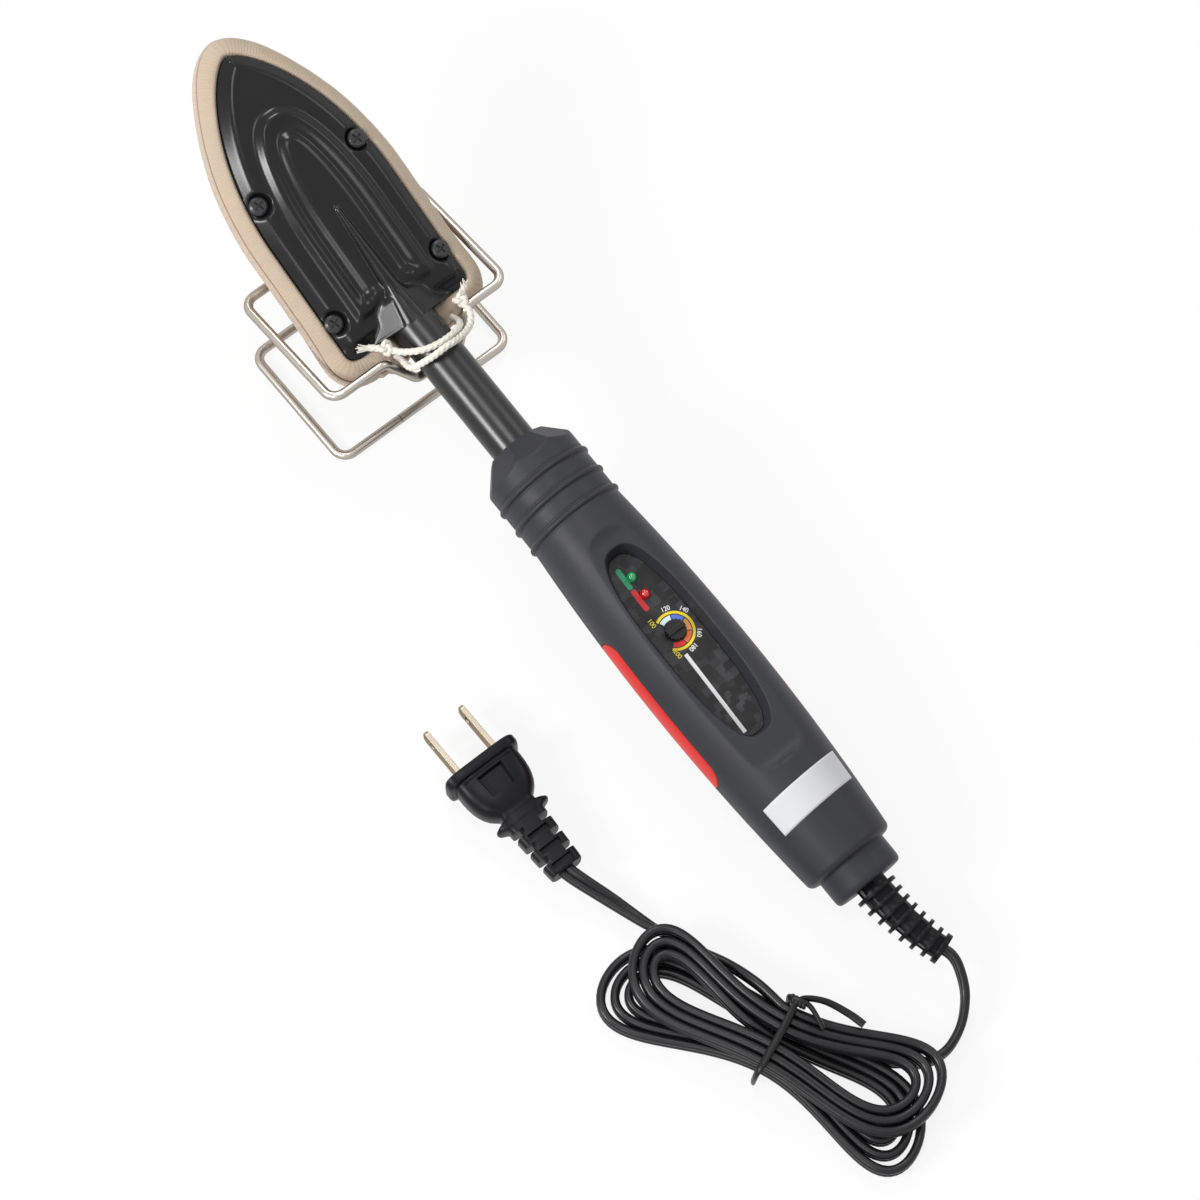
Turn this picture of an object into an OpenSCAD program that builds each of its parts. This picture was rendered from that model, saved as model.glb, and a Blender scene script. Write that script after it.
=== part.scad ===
// Sealing iron with a cloth sock, resting on its wire stand, its cord tied in a hank
// Millimetres; +Y runs along the iron to its tip, +Z is up, the table is at zero

/* [Handle] */
// Length from the rear face to the nose
handle_len = 151.5; // [146:0.5:160]
// Largest radius of the grip
grip_r = 17.4; // [17:0.1:19]
// Fattest place, as a share of the length
grip_mid_share = 0.4356; // [0.41:0.0001:0.46]
// Radius of the curve along the grip
grip_curve = 670; // [600:10:800]
// Length of the straight nose
nose_len = 29.5; // [28:0.5:32]
// Wall of the handle halves
wall = 2.2; // [2:0.1:2.5]
// Rounding of the rear edge
rear_round = 2.2; // [1:0.1:3]
// Radius of the neck behind the handle
neck_r = 11.1; // [10.5:0.1:12]
// Length of the neck
neck_len = 8.5; // [7:0.5:10]
// Half width of the nose facets at their small end
nose_face = 8.8; // [8.6:0.1:9.6]
// Slope of the nose facets from the axis
nose_slope = 40; // [36:1:45]
// Spacing of the ring beads
ring_pitch = 7; // [6:0.5:7.5]
// First bead, counted from the nose
ring_first = 13.2; // [13:0.2:14]
// Radius of a bead
ring_r = 0.9; // [0.7:0.1:1.1]
// Height of a bead
ring_proud = 0.5; // [0.3:0.1:0.6]
// Distance of a red side insert's front end from the nose
insert_gap = 61; // [58:0.2:66]
// Rear end of a side insert
insert_y = 38.7; // [36:0.1:42]
// Half height of a side insert
insert_h = 5.7; // [5:0.1:6.5]
// Thickness of a side insert
insert_t = 1.2; // [1:0.1:1.4]

/* [Control panel] */
// Lowest place of the scoop on top
scoop_z = 14.2; // [14:0.1:14.8]
// Lowest place of the scoop, as a share along the pocket
scoop_share = 0.4726; // [0.45:0.0001:0.5]
// Radius of the scoop along the handle
scoop_curve = 1500; // [1200:50:2000]
// Length of the scoop past each end of the pocket
scoop_past = 11.1; // [9:0.1:13]
// Radius of the cove at each end of the scoop
scoop_cove = 6; // [5.5:0.1:8]
// Rear end of the panel pocket
pocket_y = 43.35; // [42:0.05:45]
// Distance of the pocket's front end from the nose
pocket_gap = 44.35; // [43:0.05:47]
// Half width of the pocket at its floor
pocket_w = 7.4; // [7:0.1:7.8]
// Growth of the pocket from its floor to the scoop
pocket_flare = 1.3; // [0.8:0.1:1.6]
// Squareness of the pocket outline, 2 for an ellipse
pocket_round = 2.8; // [2.4:0.1:3.2]
// Height of the pocket floor over the axis
pocket_z = 8.4; // [8:0.1:9]
// Thickness of the pocket floor
floor_t = 1.6; // [1.2:0.1:1.8]
// Thickness of the panel plate
panel_t = 0.6; // [0.4:0.1:0.8]
// Place of the dial, as a share along the pocket
dial_share = 0.576; // [0.55:0.0001:0.6]
// Radius of the dial knob
knob_r = 3.05; // [2.8:0.05:3.4]
// Height of the dial knob
knob_h = 2.6; // [2.2:0.1:3]
// Radius of the dial spindle
spindle_r = 1.4; // [1.2:0.1:1.5]
// Place of the red lamp, as a share along the pocket
lamp_red_share = 0.7876; // [0.77:0.0001:0.8]
// Place of the green lamp, as a share along the pocket
lamp_green_share = 0.8832; // [0.87:0.0001:0.89]
// Radius of a lamp
lamp_r = 1.5; // [1.3:0.1:1.6]
// Gap between the circuit board and the shaft's collar
board_gap = 4.5; // [3:0.5:6]
// Width of the circuit board
board_w = 21; // [19:0.5:22]
// Thickness of the circuit board
board_t = 1.6; // [1.2:0.1:2]

/* [Cord outlet] */
// Length of the ribbed strain relief
boot_len = 27.6; // [26:0.2:30]
// Radius of its first rib
boot_r = 6.7; // [6.3:0.1:7]
// Radius of its last rib
boot_end_r = 4.7; // [4.4:0.1:5]
// Number of ribs
boot_ribs = 8; // [7:1:9]
// Sideways bend of the strain relief
boot_bend = 18; // [10:1:22]
// Width of the flat cord
cord_w = 5.2; // [5:0.1:5.3]
// Thickness of the flat cord
cord_t = 2.6; // [2.4:0.05:2.7]

/* [Shaft and shoe] */
// Radius of the shaft tube
shaft_r = 7.1; // [6.8:0.1:7.4]
// Wall of the shaft tube
shaft_wall = 1; // [0.8:0.1:1.2]
// Shaft between the nose and the heel of the shoe
shaft_out = 49.2; // [46:0.1:54]
// Drop of the heel edge below the shaft axis
heel_drop = 3.4; // [3:0.1:3.6]
// Bend between the shaft and the sole
sole_bend = 17; // [16:0.5:18]
// Length of the top cover
cover_len = 92; // [88:1:98]
// Half width of the top cover
cover_w = 21.5; // [20.5:0.1:23]
// Length of its parallel part
cover_par = 39; // [36:1:42]
// Height of the cover's plateau
cover_h = 4.4; // [4:0.1:5]
// Height of the raised arch over the plateau
arch_h = 1.1; // [0.8:0.1:1.4]
// Height of the inner arch
crown_h = 0.7; // [0.5:0.1:1]
// Radius of a screw head
head_r = 2.75; // [2.5:0.05:2.9]
// Thickness of the sole plate
sole_t = 10; // [9.5:0.1:11]
// Ledge of the sole outside the cover
sole_ledge = 3.9; // [3.4:0.1:4.2]
// Depth of the cover's skirt below the hem
skirt = 4; // [3.8:0.1:4.4]
// Depth of the heater recess
recess_d = 6; // [5.6:0.1:6.4]
// Thickness of the sock cloth
cloth_t = 1.1; // [1:0.1:1.3]
// Radius of the drawstring
string_r = 1.2; // [1:0.1:1.3]

/* [Stand] */
// Radius of the stand wire
wire_r = 1.4; // [1.2:0.1:1.5]
// Left side wires, from the middle of the saddle
stand_left = 33.5; // [31:0.5:36]
// Right side wires, from the middle of the saddle
stand_right = 29; // [28.5:0.5:31]
// Depth between front and rear wires
stand_d = 44; // [43:0.5:46]
// Height of the upper rear bar
stand_h = 42.3; // [41:0.1:43]
// Height of the upper front bar
front_h = 36; // [34.5:0.1:36.5]
// Distance of the rear bars behind the heel
stand_back = 7.6; // [7:0.1:8]
// Rearward lean of the saddle
saddle_lean = 5; // [4:0.1:5.5]
// Half spread of the front risers
riser_x = 13; // [10:0.5:16]
// Bend radius of the wire
bend_r = 4; // [3.5:0.1:4.5]

/* [Plug] */
// Width of the plug's flange
plug_w = 24.4; // [23:0.1:26]
// Height of the plug's flange
plug_h = 15; // [14:0.1:16]
// Length of the plug's body without the sleeve
plug_len = 21.5; // [20:0.1:23]
// Length of the ribbed sleeve
sleeve_len = 19; // [17:0.5:20]
// Distance between the blades
blade_gap = 12.7; // [12.5:0.1:12.9]
// Height of a blade
blade_h = 6.35; // [6.2:0.05:6.5]
// Thickness of a blade
blade_t = 1.5; // [1.4:0.05:1.6]
// Free length of a blade
blade_len = 16.5; // [15.9:0.1:18]

/* [Fit] */
// Angle of the iron at rest
rest_pitch = 8; // [7.8:0.1:8.2]
// Gap between separate bodies at rest
rest_gap = 0.3; // [0.25:0.05:0.4]
// Loose fit of inner parts
loose = 0.15; // [0.1:0.05:0.2]
// Radial clearance of the spindle
spin_gap = 0.1; // [0.08:0.01:0.12]

/* [Hidden] */

charcoal = [0.10, 0.10, 0.11];
black = [0.03, 0.03, 0.035];
steel = [0.72, 0.69, 0.64];

grip_mid = handle_len * grip_mid_share;
function grip_at(y) = grip_r - (y - grip_mid) * (y - grip_mid) / (2 * grip_curve);
nose_y = handle_len - nose_len;
nose_r = grip_at(nose_y);
rear_r = grip_at(rear_round);
panel_z = pocket_z + panel_t;
cavity_y = wall + 2;
cavity_end = nose_y - 4;
pocket_len = handle_len - pocket_y - pocket_gap;
insert_len = handle_len - insert_y - insert_gap;
scoop_y = pocket_y + pocket_len * scoop_share;
dial_y = pocket_y + pocket_len * dial_share;
lamp_red_y = pocket_y + pocket_len * lamp_red_share;
lamp_green_y = pocket_y + pocket_len * lamp_green_share;
collar_len = 4.2;
board_y = pocket_y - 6;
board_len = cavity_end - collar_len - board_gap - board_y;
sensor_y = cover_len - 12;
heel_y = handle_len + shaft_out;
shoe_pitch = rest_pitch + sole_bend;
axis_s = heel_drop / cos(sole_bend);
axis_at = heel_drop * [0, sin(sole_bend), cos(sole_bend)];

grip_pts = concat(
  [for (i = [0 : 6]) [rear_r - rear_round * (1 - sin(i * 15)), rear_round * (1 - cos(i * 15))]],
  [for (i = [1 : 20]) let (y = rear_round + (nose_y - rear_round) * i / 20) [grip_at(y), y]],
  [[nose_r, handle_len]]);
rear_z = max([for (q = grip_pts) q[0] * cos(rest_pitch) - q[1] * sin(rest_pitch)]);

screw_at = [[17.6, 52], [19.3, 12.3]];
screw_seat = 1.8;
head_h = 1.6;
sole_top = -skirt;
sole_low = -skirt - sole_t;
sock_top = 1;

tip_y = [cover_len + sole_ledge + cloth_t, cover_len + sole_ledge - 2.2 + cloth_t];
sock_front = max(tip_y[0] * cos(shoe_pitch) - (sole_low + 3) * sin(shoe_pitch),
  tip_y[1] * cos(shoe_pitch) - (sole_low - cloth_t) * sin(shoe_pitch));
heel_front = heel_y * cos(rest_pitch) + heel_drop * sin(rest_pitch);
heel_up = heel_y * sin(rest_pitch) - heel_drop * cos(rest_pitch);

boot_step = boot_len / boot_ribs;
boot_turn = boot_bend / boot_ribs;
function boot_at(i) = i == 0 ? [0, -neck_len] :
  boot_at(i - 1) + boot_step * [sin(boot_turn * (i - 0.5)), -cos(boot_turn * (i - 0.5))];
boot_out = boot_at(boot_ribs);
boot_way = [sin(boot_bend), -cos(boot_bend)];
boot_tilt = sqrt(1 - pow(cos(boot_bend) * cos(rest_pitch), 2));
boot_rear = boot_out[1] * cos(rest_pitch) - boot_end_r * boot_tilt;

rear_y = -(heel_front + sock_front + boot_rear) / 2;
iron_x = (stand_left - stand_right) / 2;
heel_at = [iron_x, rear_y + heel_front, rear_z + heel_up];

function to_world(p) = [iron_x + p[0], rear_y + p[1] * cos(rest_pitch) - p[2] * sin(rest_pitch),
  rear_z + p[1] * sin(rest_pitch) + p[2] * cos(rest_pitch)];

module at_handle() {
  translate([iron_x, rear_y, rear_z]) rotate([rest_pitch, 0, 0]) children();
}

module at_shoe() {
  translate(heel_at) rotate([shoe_pitch, 0, 0]) children();
}

// A revolve about the handle axis; the profile holds radius and distance
module spun(pts) {
  rotate([-90, 0, 0]) rotate_extrude($fn = 96) polygon(pts);
}

module along(y, r, h, n = 48) {
  translate([0, y, 0]) rotate([-90, 0, 0]) cylinder(r = r, h = h, $fn = n);
}

// Sweeps: rings of points along a path, closed by flat ends
function unit(v) = v / norm(v);
function way(p, i) = unit(p[min(i + 1, len(p) - 1)] - p[max(i - 1, 0)]);
function ring(c, t, up, shape, turn) = let (
    a = unit(cross(t, up)),
    b = cross(a, t))
  [for (s = shape) c + a * (s[0] * cos(turn) - s[1] * sin(turn))
    + b * (s[0] * sin(turn) + s[1] * cos(turn))];
function tube_faces(n, m) = concat(
  [for (j = [1 : m - 2]) [0, j + 1, j]],
  [for (i = [0 : n - 2]) for (j = [0 : m - 1]) [i * m + j, i * m + (j + 1) % m, (i + 1) * m + j]],
  [for (i = [0 : n - 2]) for (j = [0 : m - 1])
    [i * m + (j + 1) % m, (i + 1) * m + (j + 1) % m, (i + 1) * m + j]],
  [for (j = [1 : m - 2]) [(n - 1) * m, (n - 1) * m + j, (n - 1) * m + j + 1]]);
function round_shape(r, m) = [for (j = [0 : m - 1]) [r * cos(360 * j / m), r * sin(360 * j / m)]];
flat_shape = [for (j = [0 : 7])
  [cord_t / 2 * cos(45 * j + 22.5), cord_w / 2 * sin(45 * j + 22.5)] / cos(22.5)];
hank_shape = [[cord_t / 2, cord_w * 0.28], [0, cord_w / 2], [-cord_t / 2, cord_w * 0.28],
  [-cord_t / 2, -cord_w * 0.28], [0, -cord_w / 2], [cord_t / 2, -cord_w * 0.28]];

module tube(path, shape, up = [0, 0, 1], turns = []) {
  m = len(shape);
  pts = [for (i = [0 : len(path) - 1]) each ring(path[i], way(path, i), up, shape,
    len(turns) > 0 ? turns[i] : 0)];
  polyhedron(pts, tube_faces(len(path), m), convexity = 8);
}

// Smooth path through points, n steps to a stretch
function cr(a, b, c, d, t) = 0.5 * (2 * b + (c - a) * t + (2 * a - 5 * b + 4 * c - d) * t * t
  + (3 * b - a - 3 * c + d) * t * t * t);
function smooth(p, n) = concat([for (i = [0 : len(p) - 2]) for (k = [0 : n - 1])
    cr(i > 0 ? p[i - 1] : 2 * p[0] - p[1], p[i], p[i + 1],
      i < len(p) - 2 ? p[i + 2] : 2 * p[len(p) - 1] - p[len(p) - 2], k / n)],
  [p[len(p) - 1]]);

// Wire path with rounded corners
function corner(a, b, c, r) = let (
    u = unit(a - b),
    v = unit(c - b),
    h = acos(max(-1, min(1, u * v))) / 2,
    cut = r / tan(h),
    m = b + unit(u + v) * r / sin(h),
    s = b + u * cut - m,
    e = b + v * cut - m,
    w = acos(max(-1, min(1, unit(s) * unit(e)))),
    n = w > 60 ? 4 : 3)
  [for (k = [0 : n]) m + (s * sin(w * (1 - k / n)) + e * sin(w * k / n)) / sin(w)];

// Stand
bar_y = heel_at[1] - stand_back;
fore_y = bar_y + stand_d;
dip_y = bar_y - saddle_lean;
dip_z = rear_z + (dip_y - rear_y) * tan(rest_pitch) - (shaft_r + wire_r + rest_gap) / cos(rest_pitch);
joint_x = -12;
wire_pts = [for (q = [[joint_x - 0.15, bar_y, wire_r], [-stand_left, bar_y, wire_r], [-stand_left, fore_y, wire_r],
  [-riser_x, fore_y, wire_r], [-riser_x, fore_y, front_h], [-stand_left, fore_y, front_h],
  [-stand_left, bar_y, stand_h], [-15, bar_y, stand_h], [-10.8, bar_y - saddle_lean * 0.6, dip_z + 5],
  [-7.5, dip_y, dip_z], [7.5, dip_y, dip_z], [10.8, bar_y - saddle_lean * 0.6, dip_z + 5],
  [15, bar_y, stand_h], [stand_right, bar_y, stand_h], [stand_right, fore_y, front_h],
  [riser_x, fore_y, front_h], [riser_x, fore_y, wire_r], [stand_right, fore_y, wire_r],
  [stand_right, bar_y, wire_r], [joint_x + 0.15, bar_y, wire_r]]) [iron_x + q[0], q[1], q[2]]];
function wire_bend(i) = i >= 7 && i <= 12 ? 3 : bend_r;
wire_path = concat([wire_pts[0]],
  [for (i = [1 : len(wire_pts) - 2])
    each corner(wire_pts[i - 1], wire_pts[i], wire_pts[i + 1], wire_bend(i))],
  [wire_pts[len(wire_pts) - 1]]);
// Rings of the wire keep their own frame, carried along the path
function carried(p, i = 0, a = [0, 0, 1]) = let (
    t = way(p, i),
    b = unit(a - t * (a * t)))
  i == len(p) - 1 ? [b] : concat([b], carried(p, i + 1, b));

module wire_stand() {
  ups = carried(wire_path);
  shape = round_shape(wire_r, 10);
  pts = [for (i = [0 : len(wire_path) - 1]) each ring(wire_path[i], way(wire_path, i), ups[i], shape, 0)];
  color(steel) polyhedron(pts, tube_faces(len(wire_path), 10), convexity = 10);
}

// Cord hank: loops that spiral in on the upper layer and out again on the table
hank_c = [iron_x - 47.5, -152, 0];
hank_dir = -66.8;
loops = 3;
rings_per_loop = 24;
start_deg = 60;
climb_deg = 80;
loop_a = 40;
loop_w = 1.9;
loop_h = 16.2;
pitch_a = cord_t + 0.8;
pitch_w = cord_t + 0.65;
pitch_h = cord_t + 1.2;
layer_z = cord_w + 0.8;
tie_r = 0.95;
tie_low = tie_r + 0.3;
waist_lift = tie_low + tie_r + 0.3;
span_deg = 360 * loops;
function hank_k(d) = d <= span_deg ? loops - d / 360 :
  d <= span_deg + climb_deg ? -0.2 * sin(180 * (d - span_deg) / climb_deg) :
  (d - span_deg - climb_deg) / 360;
function hank_lift(d) = d <= span_deg ? layer_z :
  d >= span_deg + climb_deg ? 0 : layer_z * (1 + cos(180 * (d - span_deg) / climb_deg)) / 2;
function hank_pt(d) = let (
    th = start_deg + d,
    k = hank_k(d),
    u = (loop_a + pitch_a * k) * cos(th),
    v = sin(th) * (loop_w + pitch_w * k + (loop_h + pitch_h * k) * cos(th) * cos(th)),
    z = cord_w / 2 + hank_lift(d) + waist_lift * exp(-u * u / 360))
  hank_c + [u * cos(hank_dir) - v * sin(hank_dir), u * sin(hank_dir) + v * cos(hank_dir), z];
hank_end = 2 * span_deg + climb_deg;
hank_n = ceil(hank_end * rings_per_loop / 360);
hank_path = [for (i = [0 : hank_n]) hank_pt(hank_end * i / hank_n)];
function seg_gap(p, a, b) = let (
    d = b - a,
    t = max(0, min(1, (p - a) * d / (d * d))),
    q = a + d * t - p)
  max(norm([q[0], q[1]]) - cord_t, abs(q[2]) - cord_w);
hank_gap = min([for (i = [0 : hank_n]) for (j = [0 : hank_n - 1])
  if (abs(i - j) > 8) seg_gap(hank_path[i], hank_path[j], hank_path[j + 1])]);
echo(hank_gap = hank_gap);
function run_len(p, i = 1) = i >= len(p) ? 0 : norm(p[i] - p[i - 1]) + run_len(p, i + 1);

module cord_hank() {
  color(black) tube(hank_path, hank_shape);
}

// Lead from the strain relief to the hank
boot_exit = to_world([boot_out[0], boot_out[1], 0]);
exit_way = unit(to_world([boot_out[0] + boot_way[0], boot_out[1] + boot_way[1], 0]) - boot_exit);
hank_in = hank_pt(0);
in_way = unit(hank_pt(1) - hank_pt(0));
face_gap = 0.3;
lead_pts = [boot_exit + exit_way * face_gap, boot_exit + exit_way * cord_w, [iron_x + 6.2, -175, 6],
  [iron_x + 2.4, -182, 4], [iron_x - 4.2, -185.6, 3.6], [iron_x - 10.4, -183.2, 6.6],
  hank_in - in_way * 2 * cord_w, hank_in - in_way * cord_w,
  hank_in - in_way * face_gap];
lead_path = smooth(lead_pts, 4);

module cord_lead() {
  color(black) tube(lead_path, flat_shape);
}

// Tail from the hank to the plug
plug_at = [iron_x - 62.3, -38, plug_h / 2];
hank_out = hank_pt(hank_end);
out_way = unit(hank_pt(hank_end) - hank_pt(hank_end - 1));
sleeve_end = plug_at + [0, -plug_len - sleeve_len, 0];
tail_pts = [hank_out + out_way * face_gap, hank_out + out_way * cord_w, [iron_x - 54, -98.5, 2.7],
  [iron_x - 59, -91, 4.6], sleeve_end - [0, cord_w, 0], sleeve_end - [0, face_gap, 0]];
tail_path = smooth(tail_pts, 4);
tail_turn = [for (i = [0 : len(tail_path) - 1]) 90 * max(0, min(1, (i - 8) / 10))];

module cord_tail() {
  color(black) tube(tail_path, flat_shape, turns = tail_turn);
}
cord_total = run_len(lead_path) + run_len(hank_path) + run_len(tail_path);
echo(cord_total = cord_total);

// Tie round the waist of the hank, its two ends side by side
tie_out = loop_w + pitch_w * loops + cord_t / 2 + tie_r + 0.3;
tie_top = cord_w * 1.5 + layer_z - cord_w / 2 + waist_lift + tie_r + 0.3;
tie_loop = [[3, tie_out + 9, tie_top - 3], [2.6, tie_out + 5, tie_top + 1.2],
  [1.3, tie_out + 0.6, tie_top + 1.2],
  [1.3, tie_out - 3, tie_top + 0.1], [1.2, 0, tie_top], [0.8, 3 - tie_out, tie_top],
  [0.4, -tie_out, tie_top - 3], [0, -tie_out, tie_low + 3], [-0.4, 3 - tie_out, tie_low],
  [-0.8, 0, tie_low], [-1, tie_out - 3, tie_low], [-1.2, tie_out, tie_low + 3],
  [-1.3, tie_out, tie_top - 3.4], [-1.3, tie_out + 2.6, tie_top - 1], [-1.3, tie_out + 7, tie_top + 1.5],
  [6, tie_out + 12, tie_top + 1], [16, tie_out + 11, tie_top - 4]];
tie_path = smooth([for (q = tie_loop) hank_c + [q[0] * cos(hank_dir) - q[1] * sin(hank_dir),
  q[0] * sin(hank_dir) + q[1] * cos(hank_dir), q[2]]], 3);

module hank_tie() {
  ups = carried(tie_path);
  shape = round_shape(tie_r, 8);
  pts = [for (i = [0 : len(tie_path) - 1]) each ring(tie_path[i], way(tie_path, i), ups[i], shape, 0)];
  color(black) polyhedron(pts, tube_faces(len(tie_path), 8), convexity = 10);
}

// Plug
module plug_slab(w, h, r, t) {
  rotate([90, 0, 0]) linear_extrude(t) {
    square([w - 2 * r, h], center = true);
    square([w, h - 2 * r], center = true);
    for (x = [-1, 1], z = [-1, 1]) translate([x * (w / 2 - r), z * (h / 2 - r)]) circle(r, $fn = 24);
  }
}

neck_w = 11.6;
collar_w = 17.2;
flange_t = 3.4;
collar_t = 3.2;
sleeve_w = 12.4;
sleeve_end_w = 10.4;

module plug_body() {
  color(black) translate(plug_at) difference() {
    union() {
      plug_slab(plug_w, plug_h, 3, flange_t);
      hull() {
        translate([0, -flange_t, 0]) plug_slab(plug_w - 3, plug_h - 2, 3, 0.2);
        translate([0, -plug_len * 0.47, 0]) plug_slab(plug_w - 3.8, plug_h - 2.6, 3, 0.2);
        translate([0, -plug_len * 0.66, 0]) plug_slab(plug_w - 6.4, plug_h - 3.4, 3, 0.2);
        translate([0, -plug_len + collar_t, 0]) plug_slab(neck_w, 9.6, 3, 0.2);
      }
      translate([0, -plug_len + collar_t, 0]) plug_slab(collar_w, 9, 2.6, collar_t + 0.1);
      hull() {
        translate([0, -plug_len, 0]) plug_slab(sleeve_w, 8.6, 2.4, 0.2);
        translate([0, -plug_len - sleeve_len + 0.2, 0]) plug_slab(sleeve_end_w, 7, 2.4, 0.2);
      }
    }
    for (i = [0 : 2]) translate([0, -plug_len - 3.2 - i * 5.4, 0]) {
      for (x = [-1, 1]) translate([x * 5.4, 0, 0]) cube([5.2, 2, 20], center = true);
      translate([0, -2.7, 6.6]) cube([6.6, 1.8, 8], center = true);
      translate([0, -2.7, -6.6]) cube([6.6, 1.8, 8], center = true);
    }
    translate([0, -flange_t - 4.5, plug_h / 2 - 1.2]) cube([8, 7, 1.6], center = true);
    for (x = [-1, 1]) translate([x * blade_gap / 2, -3, 0])
      cube([blade_t, 6.01, blade_h], center = true);
  }
}

module plug_blades() {
  color(steel) translate(plug_at) for (x = [-1, 1]) translate([x * blade_gap / 2, 0, 0]) difference() {
    translate([-blade_t / 2, -6, -blade_h / 2]) cube([blade_t, blade_len + 6, blade_h]);
    translate([-2, blade_len - 4.4, 0]) rotate([0, 90, 0]) cylinder(r = 1.6, h = 4, $fn = 32);
    for (s = [-1, 1]) translate([0, blade_len, s * blade_h / 2]) rotate([45, 0, 0])
      cube([4, 1.6, 1.6], center = true);
  }
}

// Handle
module handle_form() {
  spun(concat([[0, -neck_len], [neck_r - 1.4, -neck_len], [neck_r - 0.4, -neck_len + 0.5],
    [neck_r, -neck_len + 1.4], [neck_r, 0]], grip_pts, [[0, handle_len]]));
  for (i = [0 : 2]) rotate([-90, 0, 0]) rotate_extrude($fn = 96)
    translate([nose_r + ring_proud - ring_r, handle_len - ring_first - i * ring_pitch])
      circle(ring_r, $fn = 24);
}

module nose_cuts() {
  for (i = [0 : 7]) rotate([0, i * 45, 0]) translate([0, handle_len, nose_face])
    rotate([-nose_slope, 0, 0]) translate([-20, -30, 0]) cube([40, 60, 20]);
}

module cavity(grow = 0) {
  spun([[0, cavity_y], [grip_at(cavity_y) - wall + grow, cavity_y],
    for (i = [1 : 12]) let (y = cavity_y + (cavity_end - cavity_y) * i / 12) [grip_at(y) - wall + grow, y],
    [0, cavity_end]]);
}

// Outline of the pocket, an oval between an ellipse and a rectangle
pocket_mid = pocket_y + pocket_len / 2;
function pocket_pts(g) = [for (i = [0 : 47]) let (c = cos(i * 7.5), s = sin(i * 7.5))
  [(pocket_w + g) * sign(c) * pow(abs(c), 2 / pocket_round),
    pocket_mid + (pocket_len / 2 + g) * sign(s) * pow(abs(s), 2 / pocket_round)]];

// Height of the scoop at a distance from its lowest place
scoop_half = pocket_len / 2 + scoop_past;
scoop_rise = scoop_cove - 1;
function scoop_at(d) = let (e = max(0, abs(d) - scoop_half + scoop_rise))
  scoop_z + d * d / (2 * scoop_curve) + scoop_cove - sqrt(scoop_cove * scoop_cove - e * e);

module scoop() {
  run = scoop_half + 0.8;
  rotate([90, 0, 90]) translate([scoop_y, 0, -25]) linear_extrude(50) polygon(concat(
    [for (i = [-40 : 40]) [run * i / 40, scoop_at(run * i / 40)]], [[run, 40], [-run, 40]]));
}

function pocket_grow(z) = pocket_flare * (z - pocket_z) / (scoop_z - pocket_z);

module pocket(z0, z1, g) {
  hull() {
    slice(pocket_pts(g + pocket_grow(z0)), z0);
    slice(pocket_pts(g + pocket_grow(z1)), z1 - 0.05);
  }
}

module insert_prism(g) {
  for (s = [-1, 1]) translate([s > 0 ? grip_r / 4 : -grip_r * 1.4, 0, 0])
    rotate([90, 0, 90]) linear_extrude(grip_r * 1.15) {
    translate([insert_y + insert_h, 0]) circle(insert_h + g, $fn = 48);
    translate([insert_y + insert_len - insert_h, 0]) circle(insert_h + g, $fn = 48);
    translate([insert_y + insert_h, -insert_h - g])
      square([insert_len - 2 * insert_h, 2 * (insert_h + g)]);
  }
}

module grip_band(r0, r1) {
  b0 = insert_y - insert_h;
  step = (insert_len + 2 * insert_h) / 12;
  spun(concat([for (i = [0 : 12]) let (y = b0 + step * i) [grip_at(y) + r0, y]],
    [for (i = [12 : -1 : 0]) let (y = b0 + step * i) [grip_at(y) + r1, y]]));
}

module panel_holes(z0, z1, g) {
  for (q = [[lamp_green_y, lamp_r], [lamp_red_y, lamp_r], [dial_y, spindle_r]])
    translate([0, q[0], z0]) cylinder(r = q[1] + g, h = z1 - z0, $fn = 32);
}

case_screw_r = 1.4;
// Case screws: place across, place along, height of the seat under the head
case_screws = [[7.5, 27, -8], [11.2, handle_len - ring_first - 1.5 * ring_pitch, -4]];
clamp_x = 8.5;
clamp_y = 14;
boot_flange = 2;
boot_hole = 5.4;

module handle_shell() {
  difference() {
    handle_form();
    nose_cuts();
    difference() {
      cavity();
      pocket(pocket_z - floor_t, 30, floor_t);
    }
    scoop();
    pocket(pocket_z, 30, 0);
    panel_holes(0, 20, loose);
    along(cavity_end - 1, shaft_r + loose / 3, handle_len, 64);
    along(-neck_len - 1, boot_hole + loose, neck_len + cavity_y + 2);
    intersection() {
      grip_band(-insert_t, 3);
      insert_prism(0);
    }
  }
}

module at_case_screws() {
  for (q = case_screws, s = [-1, 1]) translate([s * q[0], q[1], 0]) children();
}

module handle_upper() {
  color(charcoal) at_handle() {
    difference() {
      intersection() {
        handle_shell();
        translate([-40, -40, 0]) cube([80, 260, 40]);
      }
      at_case_screws() translate([0, 0, -1]) cylinder(r = case_screw_r, h = 8, $fn = 24);
    }
    difference() {
      intersection() {
        cavity(0.2);
        at_case_screws() cylinder(r = 3, h = 30, $fn = 32);
      }
      at_case_screws() translate([0, 0, -1]) cylinder(r = case_screw_r, h = 8, $fn = 24);
    }
  }
}

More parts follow.
